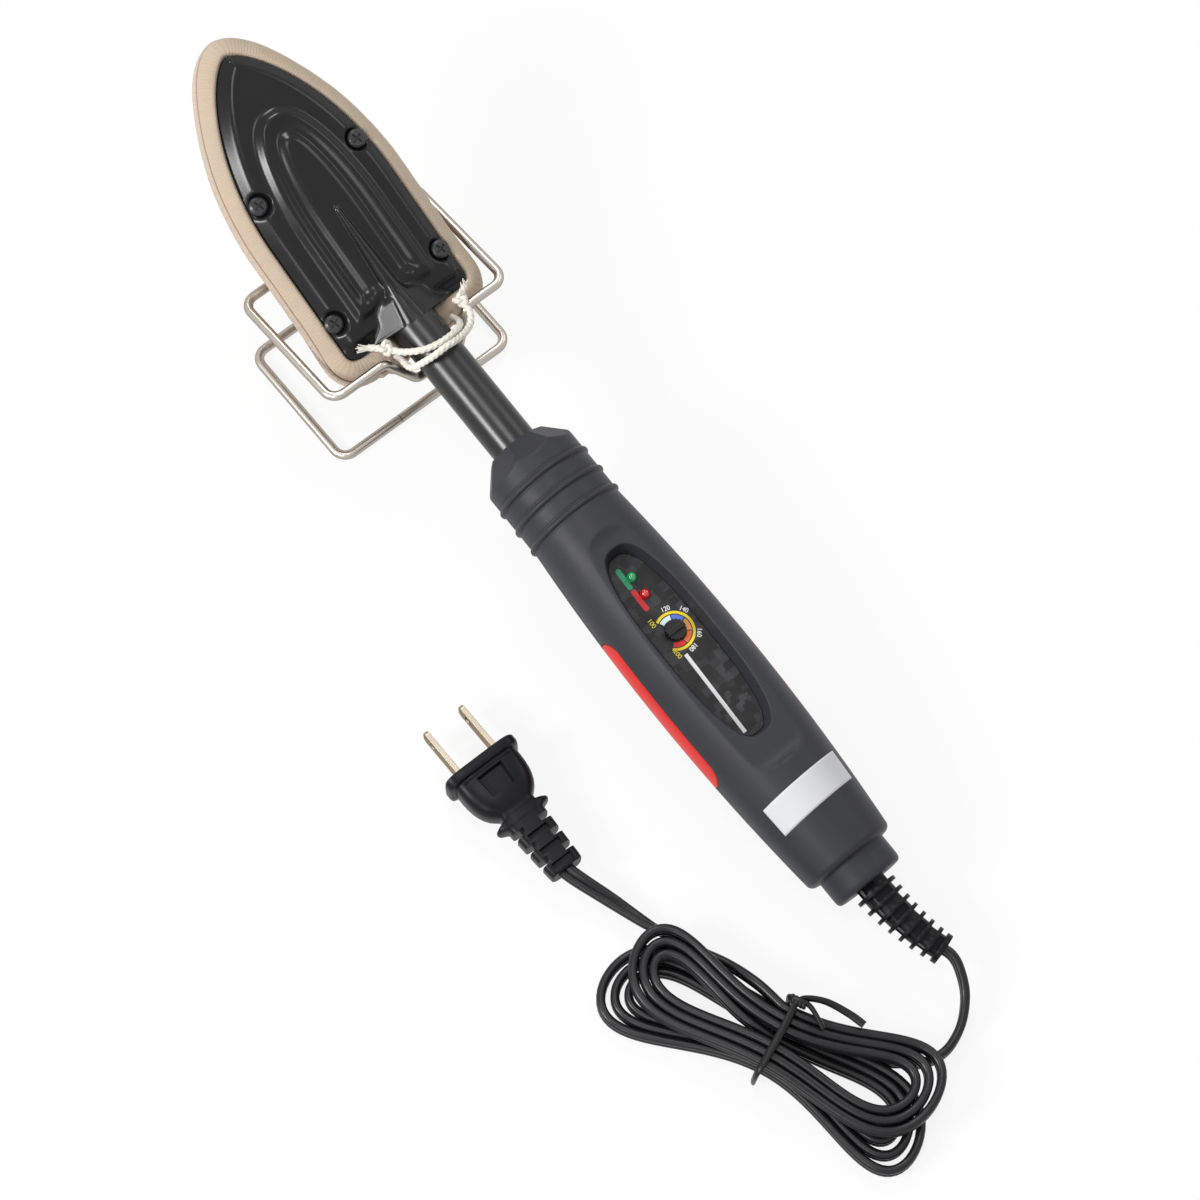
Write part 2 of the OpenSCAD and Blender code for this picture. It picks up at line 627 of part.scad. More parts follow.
module handle_lower() {
  color(charcoal) at_handle() {
    difference() {
      union() {
        intersection() {
          handle_shell();
          translate([-40, -40, -40]) cube([80, 260, 40]);
        }
        intersection() {
          cavity(0.2);
          union() {
            for (s = [-1, 1]) translate([s * (board_w / 2 - 1) - 1, board_y + 2, -30])
              cube([2, board_len - 4, 30 - board_t]);
            at_case_screws() translate([0, 0, -30]) cylinder(r = 3.2, h = 30, $fn = 32);
            for (s = [-1, 1]) translate([s * clamp_x, clamp_y, -30])
              cylinder(r = 2.2, h = 30.1 - board_t, $fn = 24);
          }
        }
      }
      for (q = case_screws, s = [-1, 1]) translate([s * q[0], q[1], -40]) {
        cylinder(r = case_screw_r + loose, h = 50, $fn = 24);
        cylinder(r = 2.8, h = 40 + q[2], $fn = 32);
      }
    }
  }
}

module side_inserts() {
  color([0.75, 0.05, 0.04]) at_handle() intersection() {
    grip_band(-insert_t, 0);
    insert_prism(-0.1);
  }
}

module control_panel() {
  color([0.14, 0.14, 0.15]) at_handle() difference() {
    pocket(pocket_z, panel_z, -loose);
    panel_holes(0, 20, loose);
  }
}

module lamp(y) {
  at_handle() translate([0, y, 0]) {
    translate([0, 0, pocket_z - floor_t - 1.2]) cylinder(r = lamp_r + 0.3, h = 1.2 - 0.05, $fn = 32);
    translate([0, 0, pocket_z - floor_t - 1.2])
      cylinder(r = lamp_r, h = panel_z - pocket_z + floor_t + 1.6, $fn = 32);
    translate([0, 0, panel_z + 0.4]) sphere(lamp_r, $fn = 32);
    for (x = [-0.7, 0.7]) translate([x - 0.25, -0.25, 0]) cube([0.5, 0.5, pocket_z - floor_t - 1]);
  }
}

module lamp_green() {
  color([0.02, 0.4, 0.15]) lamp(lamp_green_y);
}

module lamp_red() {
  color([0.6, 0.02, 0.02]) lamp(lamp_red_y);
}

module circuit_board() {
  color([0.05, 0.25, 0.1]) at_handle() translate([-board_w / 2, board_y, -board_t])
    cube([board_w, board_len, board_t]);
}

pot_h = 5;

module potentiometer() {
  color([0.2, 0.25, 0.4]) at_handle() difference() {
    translate([-4.8, dial_y - 4.8, 0]) cube([9.6, 9.6, pot_h]);
    translate([0, dial_y, 1]) cylinder(r = spindle_r + spin_gap, h = pot_h, $fn = 32);
  }
}

module triac() {
  color(black) at_handle() translate([-5, board_y + 6, 0]) {
    cube([10, 4.4, 6]);
  }
}

module handle_screws() {
  color(steel) at_handle() for (q = case_screws, s = [-1, 1]) translate([s * q[0], q[1], q[2]]) {
    cylinder(r = case_screw_r - 0.02, h = 5 - q[2], $fn = 24);
    translate([0, 0, -2]) difference() {
      cylinder(r = 2.6, h = 2, $fn = 32);
      translate([-2, -0.3, -0.1]) cube([4, 0.6, 0.9]);
      translate([-0.3, -2, -0.1]) cube([0.6, 4, 0.9]);
    }
  }
}

module shaft_collar() {
  color(steel) at_handle() difference() {
    along(cavity_end - collar_len, shaft_r + 3.5, collar_len);
    along(cavity_end - collar_len - 1, shaft_r, collar_len + 2, 64);
  }
}

tongue_w = 11;
tongue_t = 2;

module shaft_tube() {
  color(black) {
    at_handle() difference() {
      along(cavity_end - collar_len, shaft_r, heel_y - cavity_end + collar_len, 64);
      along(cavity_end - collar_len - 1, shaft_r - shaft_wall, heel_y - cavity_end + collar_len + 2, 64);
    }
    hull() {
      at_handle() intersection() {
        along(heel_y - 0.5, shaft_r - 0.2, 0.5, 32);
        translate([-20, 0, -20]) cube([40, 300, 20 - 3.4]);
      }
      at_shoe() translate([-tongue_w / 2, 6, sole_top]) cube([tongue_w, 1, tongue_t]);
    }
    at_shoe() translate([-tongue_w / 2, 6, sole_top]) cube([tongue_w, 22, tongue_t]);
  }
}

// Shoe outlines, seen from above
function edge_at(y, w, l) = y <= cover_par ? w :
  w * pow(max(0, 1 - pow((y - cover_par) / (l - cover_par), 2)), 0.7);
function half_edge(w, l, h, r) = concat(
  [for (i = [0 : 4]) [w - r + r * sin(i * 22.5), h + r - r * cos(i * 22.5)]],
  [for (i = [0 : 13]) let (y = cover_par + (l - cover_par) * (1 - pow(1 - i / 14, 1.6)))
    [edge_at(y, w, l), y]]);
function shoe_edge(w, l, h, r) = let (e = half_edge(w, l, h, r))
  concat(e, [[0, l]], [for (i = [len(e) - 1 : -1 : 0]) [-e[i][0], e[i][1]]]);
function cover_edge(g) = shoe_edge(cover_w + g, cover_len + 1.5 * g, -g, 3);
function sole_edge(g) = shoe_edge(cover_w + sole_ledge + g, cover_len + sole_ledge + g, -2 - g, 4);

module slice(pts, z) {
  translate([0, 0, z]) linear_extrude(0.05) polygon(pts);
}

function arch_pts(w, tip, rear, g) = concat([[w - g, rear + g]],
  [for (i = [0 : 10]) let (a = i * 9) [(w - g) * pow(cos(a), 0.8), 34 + (tip - g - 34) * sin(a)]],
  [for (i = [9 : -1 : 0]) let (a = i * 9) [-(w - g) * pow(cos(a), 0.8), 34 + (tip - g - 34) * sin(a)]],
  [[-(w - g), rear + g]]);
arch_w = 14;
arch_tip = 72.5;
crown_w = 6;
crown_tip = 62.5;
arch_rear = 8;
spine_y = 39;
hood_y = 12.5;
ridge_r = 3.9;
hood_r = shaft_r + 0.9;

// A cone between two points of the middle plane
module cone(a, b, r0, r1) {
  d = b - a;
  translate(a) rotate([atan2(-d[1], d[2]), 0, 0]) cylinder(r1 = r0, r2 = r1, h = norm(d), $fn = 48);
}

// Ridge over the shaft's end: slender at first, then the hood
module spine(r0, r1, r2, drop) {
  a = [0, spine_y, cover_h + arch_h + crown_h - 1 - drop];
  b = [0, -0.6, axis_s + 0.6 * tan(sole_bend)];
  m = a + (b - a) * (spine_y - hood_y) / (spine_y + 0.6);
  cone(a, m + (b - a) * 0.001, r0, r1);
  cone(m, b, r1, r2);
}

module cover_screw_cuts() {
  for (q = screw_at, s = [-1, 1]) translate([s * q[0], q[1], 0]) {
    translate([0, 0, screw_seat]) cylinder(r = head_r + 0.9, h = 20, $fn = 40);
    translate([0, 0, -30]) cylinder(r = 1.6, h = 60, $fn = 24);
  }
}

module top_cover() {
  color(black) at_shoe() difference() {
    union() {
      translate([0, 0, sole_top]) linear_extrude(skirt + 1.6) polygon(cover_edge(0));
      hull() {
        slice(cover_edge(0), 1.55);
        slice(cover_edge(-0.8), cover_h - 1.2);
        slice(cover_edge(-2.6), cover_h - 0.05);
      }
      hull() {
        slice(arch_pts(arch_w, arch_tip, arch_rear, 0), cover_h - 0.1);
        slice(arch_pts(arch_w, arch_tip, arch_rear, 1.6), cover_h + arch_h - 0.05);
      }
      hull() {
        slice(arch_pts(crown_w, crown_tip, arch_rear + 4, 0), cover_h + arch_h - 0.1);
        slice(arch_pts(crown_w, crown_tip, arch_rear + 4, 1.8), cover_h + arch_h + crown_h - 0.05);
      }
      intersection() {
        spine(1.2, ridge_r, hood_r, 0);
        translate([-20, -20, 0]) cube([40, 80, 40]);
      }
    }
    difference() {
      hull() {
        slice(cover_edge(-1.4), sole_top - 0.1);
        slice(cover_edge(-1.6), 1.4);
        slice(cover_edge(-3.4), cover_h - 1.4);
      }
      for (q = screw_at, s = [-1, 1]) translate([s * q[0], q[1], -20])
        cylinder(r = head_r + 1.4, h = 40, $fn = 32);
    }
    intersection() {
      spine(0.2, ridge_r - 0.9, shaft_r + rest_gap, 1);
      translate([-20, -20, -20]) cube([40, 50, 40]);
    }
    translate(axis_at) rotate([-sole_bend, 0, 0])
      along(-20, shaft_r + rest_gap, 22, 48);
    cover_screw_cuts();
  }
}

screw_r = 1.45;

module cover_screws() {
  color(black) at_shoe() for (q = screw_at, s = [-1, 1])
    translate([s * q[0], q[1], screw_seat]) difference() {
    union() {
      cylinder(r = head_r, h = head_h - 0.5, $fn = 40);
      translate([0, 0, head_h - 0.5]) cylinder(r1 = head_r, r2 = head_r - 0.7, h = 0.5, $fn = 40);
      translate([0, 0, -screw_seat - skirt - 6])
        cylinder(r = screw_r, h = screw_seat + skirt + 6.1, $fn = 24);
    }
    for (a = [20, 110]) rotate([0, 0, a]) translate([-1.6, -0.3, head_h - 0.8]) cube([3.2, 0.6, 2]);
  }
}

recess_w = 14;
recess_y = [8, cover_len - 20];

module sole_plate() {
  color([0.7, 0.7, 0.72]) at_shoe() difference() {
    hull() {
      slice(sole_edge(-0.05), sole_top - 0.05);
      slice(sole_edge(0), sole_low + 3);
      slice(sole_edge(-2.2), sole_low);
    }
    translate([-recess_w, recess_y[0], sole_top - recess_d])
      cube([2 * recess_w, recess_y[1] - recess_y[0], 20]);
    for (q = screw_at, s = [-1, 1]) translate([s * q[0], q[1], sole_top - 7])
      cylinder(r = screw_r, h = 20, $fn = 24);
    translate([0, sensor_y, sole_top - 7]) cylinder(r = 1.6 + loose, h = 20, $fn = 24);
  }
}

sheet_t = 0.5;
element_t = 2;
recess_floor = sole_top - recess_d;

module in_recess(z, t, g) {
  at_shoe() translate([-recess_w + g, recess_y[0] + g, z])
    cube([2 * (recess_w - g), recess_y[1] - recess_y[0] - 2 * g, t]);
}

module insulation_sheets() {
  color([0.75, 0.7, 0.55]) {
    in_recess(recess_floor, sheet_t, 0.3);
    in_recess(recess_floor + sheet_t + element_t, sheet_t, 0.3);
  }
}

module heating_element() {
  color([0.45, 0.42, 0.4]) in_recess(recess_floor + sheet_t, element_t, 1);
}

module heater_clamp() {
  z = recess_floor + 2 * sheet_t + element_t;
  color(steel) in_recess(z, sole_top - z, 0.2);
}

module heat_sensor() {
  color([0.8, 0.8, 0.75]) at_shoe() translate([0, sensor_y, sole_top - 7]) {
    cylinder(r = 1.6, h = 7, $fn = 24);
    translate([0, 0, 7]) cylinder(r = 1, h = 1.5, $fn = 24);
  }
}

module heater_leads() {
  color([0.8, 0.75, 0.6]) at_handle() for (x = [-2.2, 2.2])
    translate([x, 0, -board_t - 1]) along(board_y + board_len - 1, 1, heel_y - board_y - board_len, 16);
}

module mains_leads() {
  color([0.2, 0.2, 0.2]) at_handle() for (x = [-1.6, 1.6])
    translate([x, 0, -board_t - 1.2])
      along(cavity_y + boot_flange, 1.2, board_y - cavity_y - boot_flange + 4, 16);
}

module cord_clamp() {
  color(charcoal) at_handle() translate([-clamp_x - 2.4, clamp_y - 2.5, -board_t + 0.1])
    cube([2 * clamp_x + 4.8, 5, 2.4]);
}

module strain_relief() {
  color(black) at_handle() {
    along(cavity_y, boot_hole + 1.6, boot_flange);
    along(-neck_len, boot_hole, neck_len + cavity_y + 0.1);
    for (i = [0 : boot_ribs - 1]) {
      p = boot_at(i);
      r = boot_r + (boot_end_r - boot_r) * (i + 1) / boot_ribs;
      translate([p[0], p[1], 0]) rotate([0, 0, boot_turn * (i + 0.5)]) {
        difference() {
          rotate([90, 0, 0]) cylinder(r = r * 0.76, h = boot_step + 0.1, $fn = 32);
          translate([0, -boot_step / 2 + 0.5, 0]) rotate([0, (i % 2) * 90, 0]) for (s = [-1, 1])
            translate([s * r, 0, 0]) cube([r * 0.9, boot_step - 1.1, r * 0.9], center = true);
        }
        translate([0, -boot_step + (i == boot_ribs - 1 ? 1.6 : 1.1), 0]) rotate([90, 0, 0])
          cylinder(r = r, h = i == boot_ribs - 1 ? 1.6 : 1.1, $fn = 32);
      }
    }
  }
}

module shoe_sock() {
  color([0.82, 0.68, 0.52]) at_shoe() difference() {
    hull() {
      slice(cover_edge(1.9), sock_top - 0.05);
      slice(sole_edge(cloth_t - 0.1), -1.2);
      slice(sole_edge(cloth_t), sole_low + 3);
      slice(sole_edge(cloth_t - 2.2), sole_low - cloth_t);
    }
    hull() {
      slice(sole_edge(0.05), sole_top + 0.1);
      slice(sole_edge(0.1), sole_low + 2.9);
      slice(sole_edge(-2.1), sole_low - 0.1);
    }
    translate([0, 0, sole_top - 1]) linear_extrude(20) polygon(cover_edge(0.15));
    translate(axis_at) rotate([-sole_bend, 0, 0])
      along(-40, shaft_r + 1, 60, 48);
  }
}

// Drawstring: two strands that cross once over the shaft
string_a = smooth([for (q = [[-9.4, -5.7, -1], [-9.8, -10.1, 2.1], [-9.4, -14.3, 5.5], [-5.5, -17.1, 10.3],
  [0, -17.7, 12.3], [5.4, -17.3, 10.5], [10.6, -14.9, 7.9], [13.4, -11.1, 7.3], [13.8, -6.7, 7.6],
  [17.2, -3.6, 7.2]]) heel_at + q], 3);
string_b = smooth([for (q = [[10.2, -6.7, 0.8], [10, -10.7, 3.8], [6.5, -13.9, 8.3], [0.5, -14.9, 10.1],
  [-5, -12.9, 8.9], [-9.6, -9.3, 7.3], [-12.2, -4.9, 6.3], [-16, -1.2, 5.7]]) heel_at + q], 3);

module sock_drawstring() {
  color([0.9, 0.88, 0.82]) for (p = [string_a, string_b]) {
    ups = carried(p, 0, [0, 1, 0]);
    shape = round_shape(string_r, 8);
    pts = [for (i = [0 : len(p) - 1]) each ring(p[i], way(p, i), ups[i], shape, 0)];
    polyhedron(pts, tube_faces(len(p), 8), convexity = 6);
  }
}

// Dial
module dial_knob() {
  color(black) at_handle() translate([0, dial_y, panel_z + rest_gap]) difference() {
    union() {
      cylinder(r = knob_r, h = knob_h - 0.8, $fn = 48);
      translate([-knob_r * 0.94, -0.8, 0]) cube([knob_r * 1.88, 1.6, knob_h]);
    }
    for (i = [0 : 17]) rotate([0, 0, i * 20])
      translate([knob_r, 0, -1]) cylinder(r = 0.25, h = 6, $fn = 16);
    translate([0, 0, -1]) cylinder(r = spindle_r, h = knob_h - 0.8 + 0.4, $fn = 32);
  }
}

module dial_spindle() {
  color(steel) at_handle() translate([0, dial_y, 1 + rest_gap])
    cylinder(r = spindle_r, h = panel_z + rest_gap + knob_h - 1.4 - 1 - rest_gap, $fn = 32);
}

wire_stand();
cord_hank();
cord_tail();
hank_tie();
plug_body();
plug_blades();
handle_upper();
handle_lower();
side_inserts();
control_panel();
lamp_green();
lamp_red();
circuit_board();
potentiometer();
triac();
handle_screws();
shaft_collar();
shaft_tube();
top_cover();
cover_screws();
sole_plate();
heating_element();
insulation_sheets();
heater_clamp();
heat_sensor();
heater_leads();
mains_leads();
cord_clamp();
strain_relief();
cord_lead();
shoe_sock();
sock_drawstring();
dial_knob();
dial_spindle();
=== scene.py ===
from math import acos, cos, exp, pi, radians, sin, sqrt, tan
import bmesh
import bpy
import numpy as np
from mathutils import Matrix, Vector


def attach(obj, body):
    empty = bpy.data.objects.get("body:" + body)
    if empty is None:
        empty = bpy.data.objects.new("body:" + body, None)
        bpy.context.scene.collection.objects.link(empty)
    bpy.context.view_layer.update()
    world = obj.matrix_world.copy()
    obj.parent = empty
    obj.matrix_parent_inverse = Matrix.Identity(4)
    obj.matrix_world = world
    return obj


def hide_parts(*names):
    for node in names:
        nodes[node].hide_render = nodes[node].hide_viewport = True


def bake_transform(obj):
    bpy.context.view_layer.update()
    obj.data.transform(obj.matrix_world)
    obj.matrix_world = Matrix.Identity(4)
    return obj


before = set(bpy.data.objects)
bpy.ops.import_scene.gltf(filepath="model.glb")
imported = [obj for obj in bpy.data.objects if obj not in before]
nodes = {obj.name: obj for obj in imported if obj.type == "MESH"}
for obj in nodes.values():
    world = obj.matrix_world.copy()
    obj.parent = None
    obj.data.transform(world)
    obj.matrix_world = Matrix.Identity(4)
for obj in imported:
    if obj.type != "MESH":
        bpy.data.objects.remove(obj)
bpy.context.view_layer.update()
scene = bpy.context.scene
scene.view_settings.view_transform = "Standard"
mm = 0.001
print("frame loaded:", len(nodes), "nodes")

# the two tilted frames of the iron, in millimetres
ironX = 2.25  # the iron sits to the right of the stand's middle
handleAt = {"rear": (ironX, -127.449, 13.922), "pitch": 8}
shoeAt = {"heel": (ironX, 71.7712, 38.4872), "pitch": 25, "bend": 17, "drop": 3.4}


def tilted(origin, pitch):
    return np.array(Matrix.Translation(origin) @ Matrix.Rotation(radians(pitch), 4, "X"))


handleFrame = tilted(handleAt["rear"], handleAt["pitch"])
shoeFrame = tilted(shoeAt["heel"], shoeAt["pitch"])


def moved(points, matrix):
    p = np.asarray(points, float)
    return p @ matrix[:3, :3].T + matrix[:3, 3]


def ease(x, a, b):  # smooth step from a to b
    t = np.clip((np.asarray(x, float) - a) / (b - a), 0, 1)
    return t * t * (3 - 2 * t)


def softMin(a, b, k):
    h = np.clip(0.5 + 0.5 * (b - a) / k, 0, 1)
    return b + (a - b) * h - k * h * (1 - h)


def softMax(a, b, k):
    return -softMin(-a, -b, k)


# shader maths
class Val:  # a socket that takes part in Python sums
    def __init__(self, tree, socket=None):
        self.tree, self.socket = tree, socket

    def make(self, kind, settings=None, inputs=None, out=0):  # any node: settings first, then sockets
        n = self.tree.nodes.new("ShaderNode" + kind)
        for key, value in (settings or {}).items():
            setattr(n, key, value)
        for key, value in (inputs or {}).items():
            if isinstance(value, Val):
                self.tree.links.new(value.socket, n.inputs[key])
            else:
                n.inputs[key].default_value = value
        return Val(self.tree, n.outputs[out])

    def sum(self, how, a, b=0.0):
        return self.make("Math", {"operation": how}, {0: a, 1: b})

    def __add__(self, o): return self.sum("ADD", self, o)
    def __radd__(self, o): return self.sum("ADD", o, self)
    def __sub__(self, o): return self.sum("SUBTRACT", self, o)
    def __rsub__(self, o): return self.sum("SUBTRACT", o, self)
    def __mul__(self, o): return self.sum("MULTIPLY", self, o)

    def place(self):  # object coordinates
        return self.make("TexCoord", out=3)

    def noise(self, scale, detail, rough=0.5, where=None):
        where = where or self.place()
        return self.make("TexNoise", None, {"Vector": where, "Scale": scale, "Detail": detail, "Roughness": rough})

    def steps(self, x, a, b):  # eased rise from 0 at a to 1 at b
        return self.make("MapRange", {"interpolation_type": "SMOOTHSTEP"}, {0: x, 1: a, 2: b})

    def blend(self, share, a, b):  # two colours
        a, b = [c if isinstance(c, Val) else (*c, 1) for c in (a, b)]
        return self.make("Mix", {"data_type": "RGBA"}, {0: share, 6: a, 7: b}, out=2)

    def bump(self, height, depth, strength):
        return self.make("Bump", None, {"Strength": strength, "Distance": depth, "Height": height})


def wired(owner, kind, build):  # build(v) gives the shader of a material or the world
    owner.use_nodes = True
    tree = owner.node_tree
    tree.nodes.clear()
    shader = build(Val(tree))
    tree.links.new(shader.socket, tree.nodes.new("ShaderNodeOutput" + kind).inputs["Surface"])
    return owner


def newSkin(name, build):  # build(v) gives the Principled shader's sockets
    return wired(bpy.data.materials.new(name), "Material", lambda v: v.make("BsdfPrincipled", None, build(v)))


def grained(name, colour, rough, grain, depth, spread, gloss=0.5):  # moulded or painted finish
    def build(v):
        big, fine = v.noise(90, 3), v.noise(grain, 2)
        pale, deep = [min(1, c * 1.7 + 0.004) for c in colour], [c * 0.6 for c in colour]
        tone = v.blend(big * spread, colour, pale)
        return {"Base Color": v.blend(fine * spread, tone, deep), "Roughness": rough + (big - 0.5) * 0.16,
                "Normal": v.bump(fine, depth, 0.6), "Specular IOR Level": gloss}
    return newSkin(name, build)


skins = {key: grained(*row) for key, row in {
    "handle": ("charcoalGrain", (0.0275, 0.0282, 0.033), 0.46, 2300, 7e-5, 0.3, 0.22),
    # pocket and insert recesses: a darker copy of the handle's finish, painted shade in the recesses
    "recessPaintedShade": ("recessPaintedShade", (0.008, 0.0085, 0.0105), 0.5, 2300, 5e-5, 0.3, 0.12),
    # slots and sunk panel of the plug: a darker, rougher black, painted shade in the recesses
    "plugRecessPaintedShade": ("plugRecessPaintedShade", (0.005, 0.005, 0.0055), 0.6, 1500, 2e-5, 0.3, 0.14),
    "cover": ("coverSatinBlack", (0.006, 0.006, 0.0068), 0.22, 1500, 4e-6, 0.2, 0.26),
    "tube": ("tubeSatinBlack", (0.006, 0.006, 0.0065), 0.29, 1800, 5e-6, 0.3, 0.42),
    "rubber": ("mouldedBlack", (0.0065, 0.0065, 0.0082), 0.34, 1500, 2e-5, 0.3, 0.12),
    "cord": ("cordBlack", (0.009, 0.009, 0.0108), 0.31, 900, 1.2e-5, 0.3, 0.3),
    "tie": ("tieBlack", (0.007, 0.007, 0.007), 0.36, 1200, 1.5e-5, 0.3, 0.25),
    "insert": ("insertRed", (0.62, 0.022, 0.016), 0.45, 2000, 1.5e-5, 0.12, 0.22),
    "knob": ("knobBlack", (0.008, 0.008, 0.008), 0.4, 2600, 1.5e-5, 0.25, 0.25),
    "screw": ("screwBlack", (0.024, 0.024, 0.026), 0.3, 2000, 1e-5, 0.3, 0.4),
    "boardGreen": ("boardGreen", (0.03, 0.17, 0.06), 0.4, 900, 1e-5, 0.3),
    "innerDark": ("innerMoulding", (0.05, 0.05, 0.055), 0.5, 1500, 2e-5, 0.3),
    "mica": ("micaSheet", (0.62, 0.55, 0.40), 0.45, 700, 3e-5, 0.35),
    "sleeve": ("leadSleeve", (0.62, 0.56, 0.45), 0.6, 1200, 4e-5, 0.3),
}.items()}  # colour, roughness, grain, its depth, mottling, gloss


def metal(name, colour, edge, rough, streak, vary=0.5):  # streak is the grain's scale along x, y and z
    def build(v):
        lines = v.noise(1.0, 3, 0.55, v.make("Mapping", None, {"Vector": v.place(), "Scale": streak}))
        spots = v.noise(260, 3)
        return {"Base Color": v.blend(lines * vary, colour, [c * 0.72 for c in colour]), "Metallic": 1.0,
                "Roughness": rough + (lines - 0.5) * 0.28 * vary + (spots - 0.5) * 0.08,
                "Normal": v.bump(lines, 1.2e-5 * vary, 0.5), "Specular Tint": (*edge, 1)}
    return newSkin(name, build)


skins["nickel"] = metal("wireNickel", (0.46, 0.42, 0.375), (0.45, 0.38, 0.31), 0.3, (500, 500, 500), 0.02)
skins["blade"] = metal("bladeNickel", (0.44, 0.385, 0.305), (0.5, 0.42, 0.34), 0.28, (600, 90, 400), 0.03)
skins["steel"] = metal("zincSteel", (0.55, 0.55, 0.55), (0.7, 0.7, 0.7), 0.3, (900, 900, 900))
skins["alloy"] = metal("castAlloy", (0.62, 0.62, 0.64), (0.8, 0.8, 0.8), 0.42, (500, 500, 500))


# the lens emits a little light of its own: painted glow
def lens(name, colour, glow):
    def build(v):
        depth = v.noise(900, 1)
        return {"Base Color": v.blend(depth * 0.5, colour, [c * 0.45 for c in colour]), "Roughness": 0.1 + depth * 0.04,
                "Coat Weight": 1.0, "Coat Roughness": 0.04, "Emission Color": (*glow, 1), "Emission Strength": 0.25}
    return newSkin(name, build)


skins["lensGreen"] = lens("lensGreen", (0.01, 0.22, 0.07), (0.01, 0.35, 0.10))
skins["lensRed"] = lens("lensRed", (0.42, 0.006, 0.006), (0.55, 0.0, 0.0))


def printed(name, colour):
    def build(v):
        ink = v.noise(1800, 2)
        return {"Base Color": v.blend(ink * 0.22, colour, [c * 0.75 for c in colour]), "Roughness": 0.45 + ink * 0.08}
    return newSkin(name, build)


def paper(v):
    fibre, cloud = v.noise(1600, 3), v.noise(60, 2)
    # cloud from pale grey to a bluish grey: painted silvery sheen on the paper
    return {"Base Color": v.blend(cloud * 0.5, (0.64, 0.64, 0.652), (0.57, 0.58, 0.605)),
            "Roughness": 0.5 + fibre * 0.1, "Specular IOR Level": 0.3, "Normal": v.bump(fibre, 8e-6, 0.5)}


skins["label"] = newSkin("labelPaper", paper)


def foil(v):  # dark printed foil with a faint mosaic
    where = v.place()
    mosaic = {"Vector": where, "Scale": 420.0, "Randomness": 0.55}
    cells = v.make("TexVoronoi", {"distance": "CHEBYCHEV"}, mosaic, out=1)
    tone = v.make("SeparateColor", None, {0: cells})
    swirl = v.noise(210, 3, 0.6, where)
    light = v.steps(tone * 0.55 + swirl * 0.6, 0.45, 0.95)
    return {"Base Color": v.blend(light, (0.012, 0.012, 0.013), (0.046, 0.046, 0.050)),
            "Roughness": 0.36 + swirl * 0.12, "Specular IOR Level": 0.25}


skins["foil"] = newSkin("panelFoil", foil)


def cotton(v):
    fuzz, cloud = v.noise(2600, 3, 0.6), v.noise(300, 2)
    return {"Base Color": v.blend(cloud * 0.5, (0.80, 0.77, 0.70), (0.66, 0.61, 0.52)), "Roughness": 0.85,
            "Normal": v.bump(fuzz, 1.2e-4, 0.7), "Sheen Weight": 0.3, "Specular IOR Level": 0.2}


skins["cotton"] = newSkin("cottonTwist", cotton)
print("finishes made:", len(skins))

# camera, floor and light
view = {"azimuth": 38.9, "elevation": 68, "distance": 1.0, "target": (0.00035, -0.0182, 0), "lens": 102.6,
    "sensor": 36, "clip": (0.01, 20)}


def makeCamera():
    a, e = radians(view["azimuth"]), radians(view["elevation"])
    look = Vector((sin(a) * cos(e), cos(a) * cos(e), -sin(e)))
    cam = bpy.data.objects.new("photoCamera", bpy.data.cameras.new("photoCamera"))
    cam.data.lens, cam.data.sensor_width = view["lens"], view["sensor"]
    cam.data.clip_start, cam.data.clip_end = view["clip"]
    cam.location = Vector(view["target"]) - look * view["distance"]
    cam.rotation_euler = look.to_track_quat("-Z", "Y").to_euler()
    scene.collection.objects.link(cam)
    scene.camera = cam


def seenShare(v):  # 1 for camera, glossy and transmission rays
    outs = v.make("LightPath").socket.node.outputs
    direct, glossy, clear = [Val(v.tree, outs[f"Is {kind} Ray"]) for kind in ("Camera", "Glossy", "Transmission")]
    return v.make("Clamp", None, {0: direct + glossy + clear})


studio = {"ambient": 0.36, "whiteShare": 0.86, "floorTone": 0.86, "floorHalf": 3, "floorZ": -0.0002,
    "aim": (0, -0.02, 0.02), "lamps": [("keyLamp", (-1.0, 0.25, 0.74), 9.5, 0.3),
    ("topLamp", (-0.1, 0.1, 1.25), 3.0, 0.4), ("frontLamp", (0.32, 0.76, 0.98), 3.4, 0.22),
    ("sideLamp", (0.86, -0.02, 0.76), 1.7, 0.4), ("rearLamp", (-0.85, -0.36, 0.72), 2.2, 0.3)]}  # place, power, size


def sky(v):
    dim, white = [v.make("Background", None, {"Color": (1, 1, 1, 1), "Strength": x}) for x in (studio["ambient"], 1.0)]
    return v.make("MixShader", None, {0: seenShare(v), 1: dim, 2: white})


def ground(v):
    matt = v.make("BsdfDiffuse", None, {"Color": (*[studio["floorTone"]] * 3, 1)})
    glow = v.make("Emission", None, {"Color": (1, 1, 1, 1), "Strength": 1.0})
    return v.make("MixShader", None, {0: seenShare(v) * studio["whiteShare"], 1: matt, 2: glow})


def makeStudio():
    scene.world = wired(bpy.data.worlds.new("studio"), "World", sky)
    for name, at, power, size in studio["lamps"]:
        lamp = bpy.data.objects.new(name, bpy.data.lights.new(name, "AREA"))
        lamp.data.energy, lamp.data.size = power, size
        lamp.location = at
        lamp.rotation_euler = (Vector(studio["aim"]) - Vector(at)).to_track_quat("-Z", "Y").to_euler()
        scene.collection.objects.link(lamp)
    mesh = bpy.data.meshes.new("paleFloor")
    h, z = studio["floorHalf"], studio["floorZ"]
    mesh.from_pydata([(-h, -h, z), (h, -h, z), (h, h, z), (-h, h, z)], [], [(0, 1, 2, 3)])
    floor = bpy.data.objects.new("paleFloor", mesh)
    scene.collection.objects.link(floor)
    mesh.materials.append(wired(bpy.data.materials.new("paleFloor"), "Material", ground))


makeCamera()
makeStudio()
print("camera and studio set")


